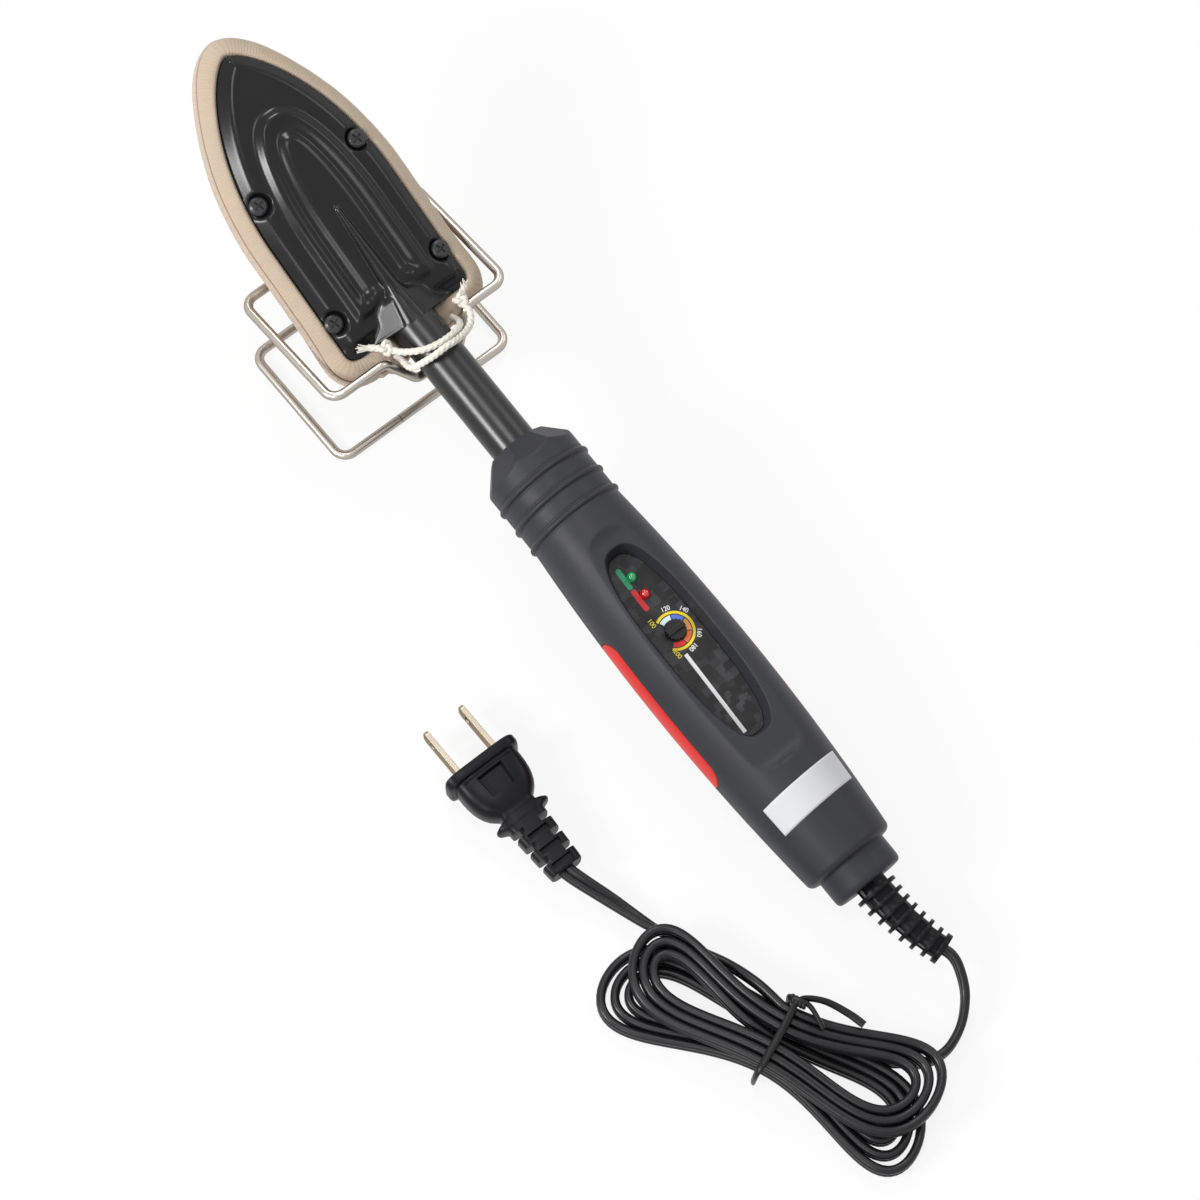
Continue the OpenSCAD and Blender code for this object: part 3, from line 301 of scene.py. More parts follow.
# mesh helpers
def addPiece(name, verts, faces, skin, body=None, slot=None, sharp=35, closed=True):  # verts in millimetres
    mesh = bpy.data.meshes.new(name)
    mesh.from_pydata([tuple(p) for p in np.asarray(verts, float) * mm], [], [tuple(f) for f in faces])
    piece = bpy.data.objects.new(name, mesh)
    scene.collection.objects.link(piece)
    if closed:
        turnOut(mesh)
    mesh.materials.append(skins[skin])
    shade(mesh, sharp)
    if body:
        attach(piece, body)
    return piece


def turnOut(mesh):
    b = bmesh.new()
    b.from_mesh(mesh)
    bmesh.ops.recalc_face_normals(b, faces=b.faces)
    b.to_mesh(mesh)
    b.free()


def shade(mesh, sharp):
    mesh.shade_smooth()
    mesh.set_sharp_from_angle(angle=radians(sharp))


def gridFaces(rows, cols, wrap=True):
    n = cols if wrap else cols - 1
    return [(i * cols + j, i * cols + (j + 1) % cols, (i + 1) * cols + (j + 1) % cols, (i + 1) * cols + j)
            for i in range(rows - 1) for j in range(n)]


def capped(rows, cols):  # rings of points as a closed tube
    return gridFaces(rows, cols) + [tuple(range(cols)), tuple((rows - 1) * cols + k for k in range(cols))[::-1]]


def joined(parts):  # several (verts, faces) as one
    verts, faces = [], []
    for v, f in parts:
        n = len(verts)
        verts.extend(np.asarray(v).tolist())
        faces.extend([[i + n for i in face] for face in f])
    return verts, faces


def through(points, steps):  # smooth path through points, as in the part's source
    p = np.asarray(points, float)
    ext = np.vstack([2 * p[0] - p[1], p, 2 * p[-1] - p[-2]])
    out = []
    for i in range(len(p) - 1):
        a, b, c, d = ext[i:i + 4]
        for t in np.arange(steps) / steps:
            square, cube = 2 * a - 5 * b + 4 * c - d, 3 * b - a - 3 * c + d
            out.append(0.5 * (2 * b + (c - a) * t + square * t ** 2 + cube * t ** 3))
    return np.array(out + [p[-1]])


def soFar(line):  # length along a line, at each of its points
    return np.concatenate([[0], np.cumsum(np.linalg.norm(np.diff(line, axis=0), axis=1))])


def unit(v):  # one direction or a row of them, each of length 1
    return v / np.linalg.norm(v, axis=-1, keepdims=True)


def ways(path):
    return unit(np.gradient(path, axis=0))


def carried(path, up):  # a side direction carried along the path without twist
    out, a = [], np.array(up, float)
    for w in ways(path):
        a = unit(a - w * (a @ w))
        out.append(a)
    return np.array(out)


def sweep(path, shape, ups, turns=None):  # shape (m, 2), or (n, m, 2) with one for each ring
    n, t = len(path), ways(path)
    side = unit(np.cross(t, ups))
    rise = np.cross(side, t)
    shape = np.asarray(shape, float)
    shape = np.broadcast_to(shape, (n, *shape.shape[-2:]))
    turns = np.zeros(n) if turns is None else np.radians(turns)
    x = shape[..., 0] * np.cos(turns)[:, None] - shape[..., 1] * np.sin(turns)[:, None]
    y = shape[..., 0] * np.sin(turns)[:, None] + shape[..., 1] * np.cos(turns)[:, None]
    verts = path[:, None, :] + side[:, None, :] * x[..., None] + rise[:, None, :] * y[..., None]
    m = shape.shape[1]
    faces = gridFaces(n, m) + [tuple(range(m))[::-1], tuple((n - 1) * m + k for k in range(m))]
    return verts.reshape(-1, 3), faces


def roundShape(r, m):
    a = np.arange(m) * 2 * np.pi / m
    return np.stack([r * np.cos(a), r * np.sin(a)], 1)


def settled(piece):  # its mesh as a modifier or a font gives it
    bpy.context.view_layer.update()
    return bpy.data.meshes.new_from_object(piece.evaluated_get(bpy.context.evaluated_depsgraph_get()))


def cutAway(piece, verts, faces, skin):  # exact boolean, applied; the cut faces take the finish named
    cutter = addPiece("cutter", verts, faces, skin)
    mod = piece.modifiers.new("cut", "BOOLEAN")
    mod.operation, mod.solver, mod.object = "DIFFERENCE", "EXACT", cutter
    mesh = settled(piece)
    piece.modifiers.clear()
    old, piece.data = piece.data, mesh
    bpy.data.meshes.remove(old)
    bpy.data.objects.remove(cutter)


def boxForm(x0, x1, y0, y1, z0, z1):
    v = [(x, y, z) for x in (x0, x1) for y in (y0, y1) for z in (z0, z1)]
    return v, [(0, 1, 3, 2), (4, 6, 7, 5), (0, 4, 5, 1), (2, 3, 7, 6), (0, 2, 6, 4), (1, 5, 7, 3)]


# mains cord: lead, hank and tail in one flat twin tube
cord = {"width": 5.2, "thick": 2.6, "core": (-62, 242), "squash": 0.97, "floor": 0.02,
    "centre": (ironX - 47.5, -152.0), "dir": -66.8, "loops": 3, "start": 60, "climb": 66, "last": -34, "perLoop": 96,
    "half": (40, 38.5), "endPitch": (3.6, 3.1), "waist": 1.0, "pitch": 2.76, "belly": (11.8, 14), "bellyPitch": 2.9,
    "inward": 0.12, "middle": -1.7, "swing": ((-4.0, -7.0), (6.5, 5.5)), "swingAt": 45,
    "layerGap": 0.5, "tieRoom": 2.5, "tieSpread": 360, "perPoint": 9, "joinGap": 0.3, "flatFrom": 30, "flatOver": 22,
    "lead": [(4.4, -169.6, 7.4), (1.4, -175.6, 5.2), (-4.2, -180.8, 3.6), (-10.6, -183.6, 2.8), (-16, -183.8, 2.65),
    (-20.4, -182.2, 2.65), (-23.8, -179.2, 2.65)],  # x from the iron's middle
    "tail": [(-11, 10.3, 9.4), (-21, 12.4, 5.6), (-32, 12.7, 2.9), (-45, 12.9, 2.9), (-58, 13.9, 4.6)]}  # from the hank
bootExit = np.array([ironX + 4.3001, -162.752, 8.9605])
exitWay = np.array([0.309017, -0.941801, -0.132361])
plugAt = np.array([ironX - 62.3, -38, 7.5])
sleeveEnd = plugAt + [0, -40.5, 0]


def hankPoint(d):  # lower loops from the outside in, then upper loops from the inside out
    w, span, climb = cord["width"], 360 * cord["loops"], cord["climb"]
    s = min(max((d - span) / climb, 0), 1)
    if d <= span:
        k = cord["loops"] - d / 360
    elif d < span + climb:
        k = -cord["inward"] * sin(pi * s)
    else:
        k = (d - span - climb) / 360
    rise = 0.5 - 0.5 * cos(pi * s)
    th = radians(cord["start"] + d)
    c, n = cos(th), sin(th)
    half = [h + p * k for h, p in zip(cord["half"], cord["endPitch"])]
    u = (half[0] + (half[1] - half[0]) * rise) * c
    end = 0 if u < 0 else 1
    swing = [q[end] for q in cord["swing"]]  # the two layers fan apart towards their ends
    v = n * (cord["waist"] + cord["pitch"] * k + (cord["belly"][end] + cord["bellyPitch"] * k) * c * c)
    v += cord["middle"] + (swing[0] + (swing[1] - swing[0]) * rise) * (u / cord["swingAt"]) ** 2
    z = w / 2 + (w + cord["layerGap"]) * rise + cord["tieRoom"] * exp(-u * u / cord["tieSpread"])
    return fromHank(u, v, z)


def fromHank(u, v, z):
    c, s = cos(radians(cord["dir"])), sin(radians(cord["dir"]))
    return np.array([cord["centre"][0] + u * c - v * s, cord["centre"][1] + u * s + v * c, z])


def makeCord():
    end = 720 * cord["loops"] + cord["climb"] + cord["last"]
    n = int(end * cord["perLoop"] / 360)
    hank = np.array([hankPoint(end * i / n) for i in range(n + 1)])
    inWay, outWay = unit(hankPoint(1) - hankPoint(0)), unit(hankPoint(end) - hankPoint(end - 1))
    gap, fine = cord["joinGap"], cord["perPoint"]
    run = np.array(cord["lead"]) + [ironX, 0, 0]
    boot = [bootExit - exitWay * 2, bootExit + exitWay * 2.6]
    lead = through([*boot, *run, hank[0] - inWay * cord["width"], hank[0] - inWay * gap], fine)
    run = [fromHank(*q) for q in cord["tail"]]
    sleeve = [sleeveEnd - [0.3, 0, 0.3], sleeveEnd + [0, 5, 0]]
    tail = through([hank[-1] + outWay * gap, *run, *sleeve], fine)
    path = np.vstack([lead, hank, tail])
    flat = np.clip((np.arange(len(tail)) - cord["flatFrom"]) / cord["flatOver"], 0, 1)  # it lies down before the plug
    turns = np.concatenate([np.zeros(len(lead) + len(hank)), 90 * flat])
    r = cord["thick"] / 2
    a = np.radians(np.linspace(*cord["core"], 12))
    top = np.stack([r * np.cos(a), r + r * np.sin(a)], 1)
    shape = np.vstack([top, -top])  # two cores with a groove between them
    shape[:, 1] *= cord["squash"]
    shape = shape[np.argsort(np.arctan2(shape[:, 1], shape[:, 0] + 1e-9))]
    verts, faces = sweep(path, shape, np.tile([0.0, 0, 1], (len(path), 1)), turns)
    verts[:, 2] = np.maximum(verts[:, 2], cord["floor"])
    piece = addPiece("mainsCord", verts, faces, "cord", slot="cord_black", sharp=80)
    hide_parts("cord_lead", "cord_hank", "cord_tail")
    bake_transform(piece)  # left in world place, on no body
    return piece, path


tie = {"r": 0.95, "gap": 0.3, "low": 1.25, "wings": (1.12, 0.72), "swing": 60, "swingStep": 0.06, "twistLen": 4.2,
    "twistR": 0.85, "endR": 0.6}


def makeTie():
    side, low, off = cord["middle"], tie["low"], tie["r"] + tie["gap"]
    out = cord["waist"] + cord["pitch"] * cord["loops"] + cord["thick"] / 2 + off
    top = cord["width"] * 2 + cord["layerGap"] + cord["tieRoom"] + off
    loop = [(20.4, 12.9 - side, top - 2.2), (15.4, 13.6 - side, top - 1.7), (8.5, 13.4 - side, top - 0.4),
            (3.2, 11.4 - side, top + 0.6), (1.3, out - 1.2, top + 0.7), (1.3, out - 4, top + 0.05), (1.2, 0, top),
            (0.8, 3 - out, top), (0.4, -out, top - 3), (0, -out, low + 3), (-0.4, 3 - out, low), (-0.8, 0, low),
            (-1, out - 3, low), (-1.2, out, low + 3), (-1.3, out, top - 3.4), (-0.6, out - 0.4, top + 0.2),
            (1.8, out - 0.4, top + 1.4), (5.4, 9.8 - side, top + 0.5), (11.1, 6.3 - side, top - 0.7)]
    path = through([fromHank(u, v + side, z) for u, v, z in loop], 9)
    flat = roundShape(1, 16) * tie["wings"]  # flat wings round a wire
    spin = tie["swing"] * np.sin(np.arange(len(path)) * tie["swingStep"])
    verts, faces = sweep(path, flat, carried(path, (0, 0, 1)), spin)
    band = addPiece("hankTie", verts, faces, "tie", "stand", "tie_black", 60)
    ends, r = [], tie["twistR"]
    for start in (0, pi):  # the two ends twisted round each other
        s = np.linspace(0, 1, 40)
        line = np.array([fromHank(-0.4 + tie["twistLen"] * x, side + out - 0.6 + r * cos(q), top + 0.6 + r * sin(q))
                         for x, q in zip(s, s * 4 * np.pi + start)])
        ends.append(sweep(line, roundShape(tie["endR"], 12), carried(line, (0, 0, 1))))
    twist = addPiece("tieTwist", *joined(ends), "tie", "stand", "tie_black", 60)
    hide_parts("hank_tie")
    return [band, twist]


mainsCord, cordPath = makeCord()
tiePieces = makeTie()

# plug
plug = {"around": 64, "slots": 3, "slotY": -24.7, "slotStep": 5.4, "slotHalf": 1, "slotX": 2.7,
    "topSlot": (-3.6, -1.8, 3.4), "topZ": 2.5, "past": 9, "panel": [(-4.4, -4.9), (4.4, -4.9), (3.9, -12.2),
    (-3.9, -12.2)], "panelY": -8.5, "panelZ": (4.9, 7.6), "panelGrow": (0.86, 1.1), "ridge": (8, -4.1, 6.3, 0.32),
    "sections": [(0, 22.6, 13.2, 5), (0, 23.6, 14.2, 5), (-0.5, 24.4, 15, 5), (-2.2, 24.4, 15, 5),
    (-2.9, 23.9, 14.5, 5), (-3.2, 22.6, 13.6, 4.5), (-3.35, 21.2, 12.9, 4.4), (-3.8, 21.1, 12.9, 4.2),
    (-6, 21.3, 13.0, 4), (-8.4, 21.1, 12.8, 3.8), (-10.4, 20.6, 12.4, 3.6), (-12.2, 19.7, 12, 3.4),
    (-13.8, 18.4, 11.5, 3.3), (-15.2, 16.6, 10.9, 3.2), (-16.3, 14.4, 10.3, 3.2), (-17, 12.6, 9.8, 3.3),
    (-17.4, 11.9, 9.5, 3.6), (-18.7, 11.8, 9.3, 4), (-18.9, 12.2, 9, 3.8), (-19.3, 15.8, 9, 3),
    (-19.8, 17.9, 9, 2.6), (-20.3, 18.2, 9, 2.6), (-20.9, 17.3, 8.9, 2.8), (-21.5, 13.8, 8.8, 3.6),
    (-21.8, 12.7, 8.6, 4), (-22.4, 12.5, 8.6, 4), (-30, 11.7, 8, 4), (-38.6, 10.9, 7.4, 4), (-40.1, 10.6, 7.1, 4),
    (-40.5, 9.6, 6.4, 4), (-40.5, 6, 3.4, 3)]}  # along, width, height, squareness


def squircle(w, h, power, m):
    a = (np.arange(m) + 0.5) * 2 * np.pi / m
    c, s = np.cos(a), np.sin(a)
    return np.stack([w / 2 * np.sign(c) * np.abs(c) ** (2 / power), h / 2 * np.sign(s) * np.abs(s) ** (2 / power)], 1)


def makePlug():
    m, past = plug["around"], plug["past"]
    rings = []
    for y, w, h, power in plug["sections"]:
        q = squircle(w, h, power, m)
        rings.append(np.column_stack([q[:, 0], np.full(m, y), q[:, 1]]))
    body = addPiece("plugMoulding", np.vstack(rings) + plugAt, capped(len(rings), m), "rubber")
    cuts, half, (y0, y1, x1) = [], plug["slotHalf"], plug["topSlot"]
    for i in range(plug["slots"]):
        y = plug["slotY"] - i * plug["slotStep"]
        for s in (-1, 1):  # a slot in the side, then one in the top or underside
            cuts.append(boxForm(*sorted((s * plug["slotX"], s * past)), y - half, y + half, -past, past))
            cuts.append(boxForm(-x1, x1, y + y0, y + y1, *sorted((s * plug["topZ"], s * past))))
    mid, (z0, z1), (g0, g1) = plug["panelY"], plug["panelZ"], plug["panelGrow"]  # square panel sunk in the top
    fall = 0.1 * (plug["panel"][0][1] - np.array(plug["panel"])[:, 1])
    low = [(x * g0, mid + (y - mid) * g0, z0 - f) for (x, y), f in zip(plug["panel"], fall)]
    high = [(x * g1, mid + (y - mid) * g1, z1) for x, y in plug["panel"]]
    walls = [(i, i + 4, (i + 1) % 4 + 4, (i + 1) % 4) for i in range(4)]
    cuts.append((low + high, [(0, 1, 2, 3), (7, 6, 5, 4), *walls]))
    verts, faces = joined(cuts)
    # the cut faces of the slots and the sunk panel take the darker black: painted shade
    cutAway(body, np.array(verts) + plugAt, faces, "plugRecessPaintedShade")
    shade(body.data, 32)
    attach(body, "stand")
    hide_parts("plug_body")
    half, y, z, r = plug["ridge"]
    line = np.array([(x, y, z) for x in np.linspace(-half, half, 12)])
    verts, faces = sweep(line, roundShape(r, 10), np.tile([0.0, 0, 1], (12, 1)))
    bar = addPiece("plugRidge", verts + plugAt, faces, "rubber", "stand", "plug_black")
    return [body, bar]


plugPieces = makePlug()
print("plug moulded")

# wire stand
wire = {"r": 1.4, "left": 33.5, "right": 29, "rearY": 64.1712, "foreY": 108.1712, "topZ": 42.3, "frontZ": 36,
    "riser": 13, "dip": (15, 10.8, 7.5), "dipY": 59.1712, "dipZ": 31.26, "bend": 4, "dipBend": 3, "joint": -12,
    "jointGap": 0.15}


def corner(a, b, c, r, steps):  # arc of radius r in place of the corner b
    u, v = unit(a - b), unit(c - b)
    half = acos(np.clip(u @ v, -1, 1)) / 2
    m = b + unit(u + v) * r / sin(half)
    s, e = b + u * r / tan(half) - m, b + v * r / tan(half) - m
    w = acos(np.clip(s @ e / r / r, -1, 1))
    return [m + (s * sin(w * (1 - k / steps)) + e * sin(w * k / steps)) / sin(w)
            for k in range(steps + 1)]


def makeWire():
    q, r = wire, wire["r"]
    yr, yf, (wide, slant, narrow) = q["rearY"], q["foreY"], q["dip"]
    left, right = [[(s * x, yr, r), (s * x, yf, r), (s * q["riser"], yf, r), (s * q["riser"], yf, q["frontZ"]),
                    (s * x, yf, q["frontZ"]), (s * x, yr, q["topZ"]), (s * wide, yr, q["topZ"]),
                    (s * slant, yr - 3, q["dipZ"] + 5), (s * narrow, q["dipY"], q["dipZ"])]
                   for s, x in ((-1, q["left"]), (1, q["right"]))]
    pts = [(q["joint"] - q["jointGap"], yr, r), *left, *right[::-1], (q["joint"] + q["jointGap"], yr, r)]
    pts = [np.array(p, float) + [ironX, 0, 0] for p in pts]
    path = [pts[0]]
    for i in range(1, len(pts) - 1):  # points 7 to 12 are the dip under the shaft
        path += corner(pts[i - 1], pts[i], pts[i + 1], q["dipBend"] if 7 <= i <= 12 else q["bend"], 10)
    path = np.array(path + [pts[-1]])
    verts, faces = sweep(path, roundShape(r, 24), carried(path, (0, 0, 1)))
    stand = addPiece("bentWire", verts, faces, "nickel", "stand", "wire_nickel", 60)
    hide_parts("wire_stand")


makeWire()
print("stand bent")

# handle shell
grip = {"len": 151.5, "r": 17.4, "mid": 65.993, "curve": 670, "nose": 29.5, "rear": 2.2, "face": 8.8,
    "faceFrom": 138, "slope": 40, "rings": (138.3, 131.3, 124.3), "ringR": 0.85, "ringProud": 0.72,
    "ringZone": 1.6, "seam": 0.14, "bore": 7.3, "boreEnd": 146, "divisions": 256, "neck": [(-4, 5.6),
    (-8.3, 5.6), (-8.5, 5.9), (-8.5, 9.6), (-8.35, 10.3), (-7.9, 10.8), (-7.1, 11.05), (-6, 11.1),
    (-0.6, 11.1), (-0.2, 11.2), (0, 11.5)]}  # along, radius
scoop = {"z": 14.2, "y": 73.502, "curve": 3600, "half": 43, "cove": 7, "past": 6}
pocket = {"y": 75.25, "halfLen": 31.9, "halfWidth": 7.4, "power": 2.8, "floor": 8.4, "flare": 1.3, "lip": 0.45}
insert = {"y": 38.7, "len": 51.8, "h": 5.7, "gap": 0.16, "reach": (13.5, 22)}


def gripRadius(y):
    return grip["r"] - (np.minimum(y, grip["len"] - grip["nose"]) - grip["mid"]) ** 2 / (2 * grip["curve"])


def scoopHeight(y):  # flat across, a shallow curve along, with coved ends
    d = np.abs(np.asarray(y, float) - scoop["y"])
    e = np.minimum(np.maximum(d - scoop["half"] + scoop["past"], 0), scoop["cove"])
    return scoop["z"] + d * d / (2 * scoop["curve"]) + scoop["cove"] - np.sqrt(scoop["cove"] ** 2 - e * e)


def shellRadius(y, a):  # a is measured from the top, in radians
    r = np.full_like(a, gripRadius(y))
    for c in grip["rings"]:
        d = abs(y - c)
        if d < 2:
            ball = grip["ringR"]
            bead = gripRadius(y) + grip["ringProud"] - ball + sqrt(ball ** 2 - d * d) if d < ball else 0
            valley = 0.16 * exp(-((d - 1.15) / 0.3) ** 2)
            r = softMax(r, np.full_like(a, bead), 0.2) - valley
    top = np.cos(a)
    if abs(y - scoop["y"]) < scoop["half"] + 1:
        r = np.where(top > 0.3, softMin(r, scoopHeight(y) / np.maximum(top, 0.3), 0.14), r)
    if y > grip["faceFrom"]:  # eight facets
        face = np.mod(a + pi / 8, pi / 4) - pi / 8
        r = softMin(r, (grip["face"] + (grip["len"] - y) * tan(radians(grip["slope"]))) / np.cos(face), 0.35)
    seam = np.exp(-((np.abs(np.mod(a, pi) - pi / 2)) / 0.012) ** 2)  # parting line of the two halves
    return r - grip["seam"] * seam


def pocketRing(g):  # outline of the pocket grown by g
    t = np.linspace(0, 2 * np.pi, 160, endpoint=False)
    t = t + 0.11 * np.sin(4 * t)
    c, s = np.cos(t), np.sin(t)
    e = 2 / pocket["power"]
    return np.column_stack([(pocket["halfWidth"] + g) * np.sign(c) * np.abs(c) ** e,
                            pocket["y"] + (pocket["halfLen"] + g) * np.sign(s) * np.abs(s) ** e])


def fromRing(y):
    return min(abs(y - c) for c in grip["rings"])


def makeHandle():
    k, n = grip, grip["divisions"]
    a = np.arange(n) * 2 * np.pi / n
    rows = [(y, np.full(n, r)) for y, r in k["neck"]]
    rearR = float(gripRadius(k["rear"]))
    for i in range(13):
        t = i * pi / 24
        y = k["rear"] * (1 - cos(t))
        rows.append((y, np.full(n, rearR - k["rear"] * (1 - sin(t)))))
    zone = k["ringZone"]
    ys = [*np.arange(3.2, 28, 0.95), *np.arange(28, 122, 0.62), *np.arange(126.2, 138, 0.9),
          *np.linspace(140.2, 151.2, 34), 151.35, 151.45]
    ys += [y for c in k["rings"] for y in c + np.linspace(-zone, zone, 23)]
    for y in sorted(y for y in ys if fromRing(y) <= zone + 0.0001 or fromRing(y) > zone + 0.1):
        rows.append((y, shellRadius(y, a)))
    end, bore = shellRadius(k["len"], a), np.full(n, k["bore"])
    rows += [(k["len"], end - 0.12), (k["len"], bore + 0.3), (k["len"] - 0.3, bore), (k["boreEnd"], bore)]
    verts = np.vstack([np.column_stack([r * np.sin(a), np.full(n, y), r * np.cos(a)]) for y, r in rows])
    shell = addPiece("handleShell", moved(verts, handleFrame), capped(len(rows), n), "handle")
    f, e, floor = pocket["flare"], pocket["lip"], pocket["floor"]
    rings = []
    for g, share, lift in ((0, 0, 0), (f / 2, 0.5, 0), (f, 1, -e), (f + 0.15 * e, 1, -0.55 * e),
                           (f + 0.5 * e, 1, -0.15 * e), (f + e, 1, 0.02), (f + 1, 1, 1.5)):
        xy = pocketRing(g)  # a sloping wall, then the rounded lip
        rings.append(np.column_stack([xy, floor + share * (scoopHeight(xy[:, 1]) - floor) + lift]))
    # the pocket's cut walls take the darker finish: painted shade
    cutAway(shell, moved(np.vstack(rings), handleFrame), capped(len(rings), len(rings[0])), "recessPaintedShade")
    h = insert["h"] + insert["gap"]
    y0, y1 = insert["y"] + insert["h"], insert["y"] + insert["len"] - insert["h"]
    arc = [(h * cos(q), h * sin(q)) for q in np.linspace(-pi / 2, pi / 2, 25)]
    ring = [(y1 + c, s) for c, s in arc] + [(y0 - c, -s) for c, s in arc]
    for s in (-1, 1):  # recess of a side insert
        prism = [(s * x, y, z) for x in insert["reach"] for y, z in ring]
        cutAway(shell, moved(prism, handleFrame), capped(2, len(ring)), "recessPaintedShade")
    shade(shell.data, 33)
    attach(shell, "iron")
    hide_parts("handle_upper", "handle_lower")


label = {"from": 16.3, "to": 25.7, "half": 54, "skew": 1.4, "lift": 0.07, "thick": 0.05, "rows": 14, "cols": 60}


def makeLabel():
    q, rows, cols = label, label["rows"], label["cols"]
    a = np.radians(np.linspace(-q["half"], q["half"], cols))
    verts = []
    for t in np.linspace(q["from"], q["to"], rows):
        y = t + q["skew"] * a / a[-1] * 0.5
        r = gripRadius(y) + q["lift"]
        verts += list(zip(r * np.sin(a), y, r * np.cos(a)))
    faces = gridFaces(rows, cols, False)
    piece = addPiece("bareLabel", moved(verts, handleFrame), faces, "label", "iron", closed=False)
    thick = piece.modifiers.new("thick", "SOLIDIFY")
    thick.thickness, thick.offset = q["thick"] * mm, 1


makeHandle()
makeLabel()
print("handle turned")

# print on the panel
panel = {"z": 9.03, "dial": 80.1, "scale": (-29, 226), "ring": (5.05, 5.85), "wedge": (3.35, 4.75), "wedgeGap": 2,
    "numberR": 6.85, "numberSize": 1.9, "numberTones": ((0.80, 0.66, 0.03), (0.78, 0.78, 0.78)),
    "numbers": [("100", -3.95, 85.7, None), ("120", 0, 0, 15.5), ("140", 0, 0, 60), ("160", 0, 0, 131),
    ("180", 0, 0, 170), ("200", -3.7, 74.4, None)],  # placed by x and y, or by an angle round the dial
    "wedges": [("dialPale", (0.70, 0.86, 0.90)), ("dialBlue", (0.10, 0.19, 0.72)), ("dialAmber", (0.90, 0.40, 0.10)),
    ("dialOrange", (0.84, 0.16, 0.04)), ("dialRed", (0.72, 0.02, 0.02))],
    "strips": [("greenStrip", (-2.0, 103.2), (-2.2, 97.7), 1.6, True, (0.01, 0.30, 0.12)),
    ("redStrip", (-2.2, 95.9), (-2.4, 90.1), 1.6, True, (0.66, 0.01, 0.015)),
    ("whiteStripe", (-1.9, 73.0), (-2.7, 45.4), 1.15, False, (0.86, 0.86, 0.86))]}


def arcPatch(r0, r1, a0, a1):  # angles from +Y towards +X, in degrees
    t = np.radians(np.linspace(a0, a1, max(4, int(abs(a1 - a0) / 3))))
    verts = [(r * sin(q), panel["dial"] + r * cos(q), panel["z"]) for r in (r0, r1) for q in t]
    return verts, gridFaces(2, len(t), False)


def stripePatch(p, q, w, roundEnds):
    p, q = np.array(p, float), np.array(q, float)
    d = unit(q - p)
    s = np.array([-d[1], d[0]])
    if roundEnds:
        arc = [w / 2 * (d * cos(x) + s * sin(x)) for x in np.linspace(-pi / 2, pi / 2, 9)]
        ring = [q + x for x in arc] + [p - x for x in arc]
    else:
        ring = [q + s * w / 2, p + s * w / 2, p - s * w / 2, q - s * w / 2]
    return [(*r, panel["z"]) for r in ring], [tuple(range(len(ring)))]


def addPrint(name, verts, faces, colour):
    skins[name] = printed(name, colour)
    addPiece(name, moved(verts, handleFrame), faces, name, "iron", "panel_dark", closed=False)


def makeNumbers():
    yellow, white = panel["numberTones"]
    for text, x, y, turn in panel["numbers"]:
        curve = bpy.data.curves.new("dialNumber", "FONT")
        curve.body, curve.size, curve.align_x, curve.align_y = text, panel["numberSize"], "CENTER", "CENTER"
        curve.offset = 0.03
        holder = bpy.data.objects.new("dialNumber", curve)
        scene.collection.objects.link(holder)
        mesh = settled(holder)
        flat = np.array([v.co[:2] for v in mesh.vertices])
        faces = [tuple(p.vertices) for p in mesh.polygons]
        bpy.data.objects.remove(holder)
        bpy.data.meshes.remove(mesh)
        if turn is None:
            placed = [(x + q[1], y - q[0], panel["z"]) for q in flat]  # reads towards -Y, up is +X
        else:
            t = radians(turn)
            out, across = np.array([sin(t), cos(t)]), np.array([cos(t), -sin(t)])
            middle = np.array([0, panel["dial"]])
            placed = [middle + out * (panel["numberR"] + q[1]) + across * q[0] * 0.95 for q in flat]
            placed = [(*q, panel["z"]) for q in placed]
        addPrint("number" + text, placed, faces, yellow if turn is None else white)


def makePrint():
    (s0, s1), gap = panel["scale"], panel["wedgeGap"]
    addPrint("dialScale", *arcPatch(*panel["ring"], s0, s1), (0.86, 0.66, 0.01))
    step = (s1 - s0) / len(panel["wedges"])
    for i, (name, colour) in enumerate(panel["wedges"]):
        addPrint(name, *arcPatch(*panel["wedge"], s0 + step * i + gap, s0 + step * (i + 1) - gap), colour)
    for name, start, end, width, roundEnds, colour in panel["strips"]:
        addPrint(name, *stripePatch(start, end, width, roundEnds), colour)
    makeNumbers()


makePrint()
print("panel printed")

# shoe cover
cover = {"len": 92, "half": 21.5, "par": 39, "top": 4.4, "skirt": -4, "corner": 3, "bevel": 3.3, "bevelSlope": 0.85,
    "arch": (14, 72.5, 8), "archH": 2.0, "archRise": (-0.2, 2.2, 0.3), "archY": 34, "crown": (6.2, 63.5, 12),
    "crownH": 1.75, "crownRise": (-1.8, 0.9, 0.4), "channel": 1.5, "channelIn": (2.4, 6.4),
    "channelFrom": (10.6, 14.0, 0.4), "heelStep": 1.0, "screws": ((17.6, 52), (19.3, 12.3)), "seat": 1.8,
    "notch": 3.3, "spineY": 39.5, "hoodY": 12.5, "spineR": (0.7, 3.0, 7.6), "axis": (6.7, 6.1, 3.74), "rows": 270,
    "cols": 211, "outlineStep": 0.3}


def halfWidth(y):
    y = np.asarray(y, float)
    u = np.clip((y - cover["par"]) / (cover["len"] - cover["par"]), 0, 1)
    w = np.where(y <= cover["par"], cover["half"], cover["half"] * np.maximum(1 - u * u, 0) ** 0.7)
    c = cover["corner"]
    return np.where(y < c, cover["half"] - c + np.sqrt(np.maximum(c * c - (c - y) ** 2, 0)), w)


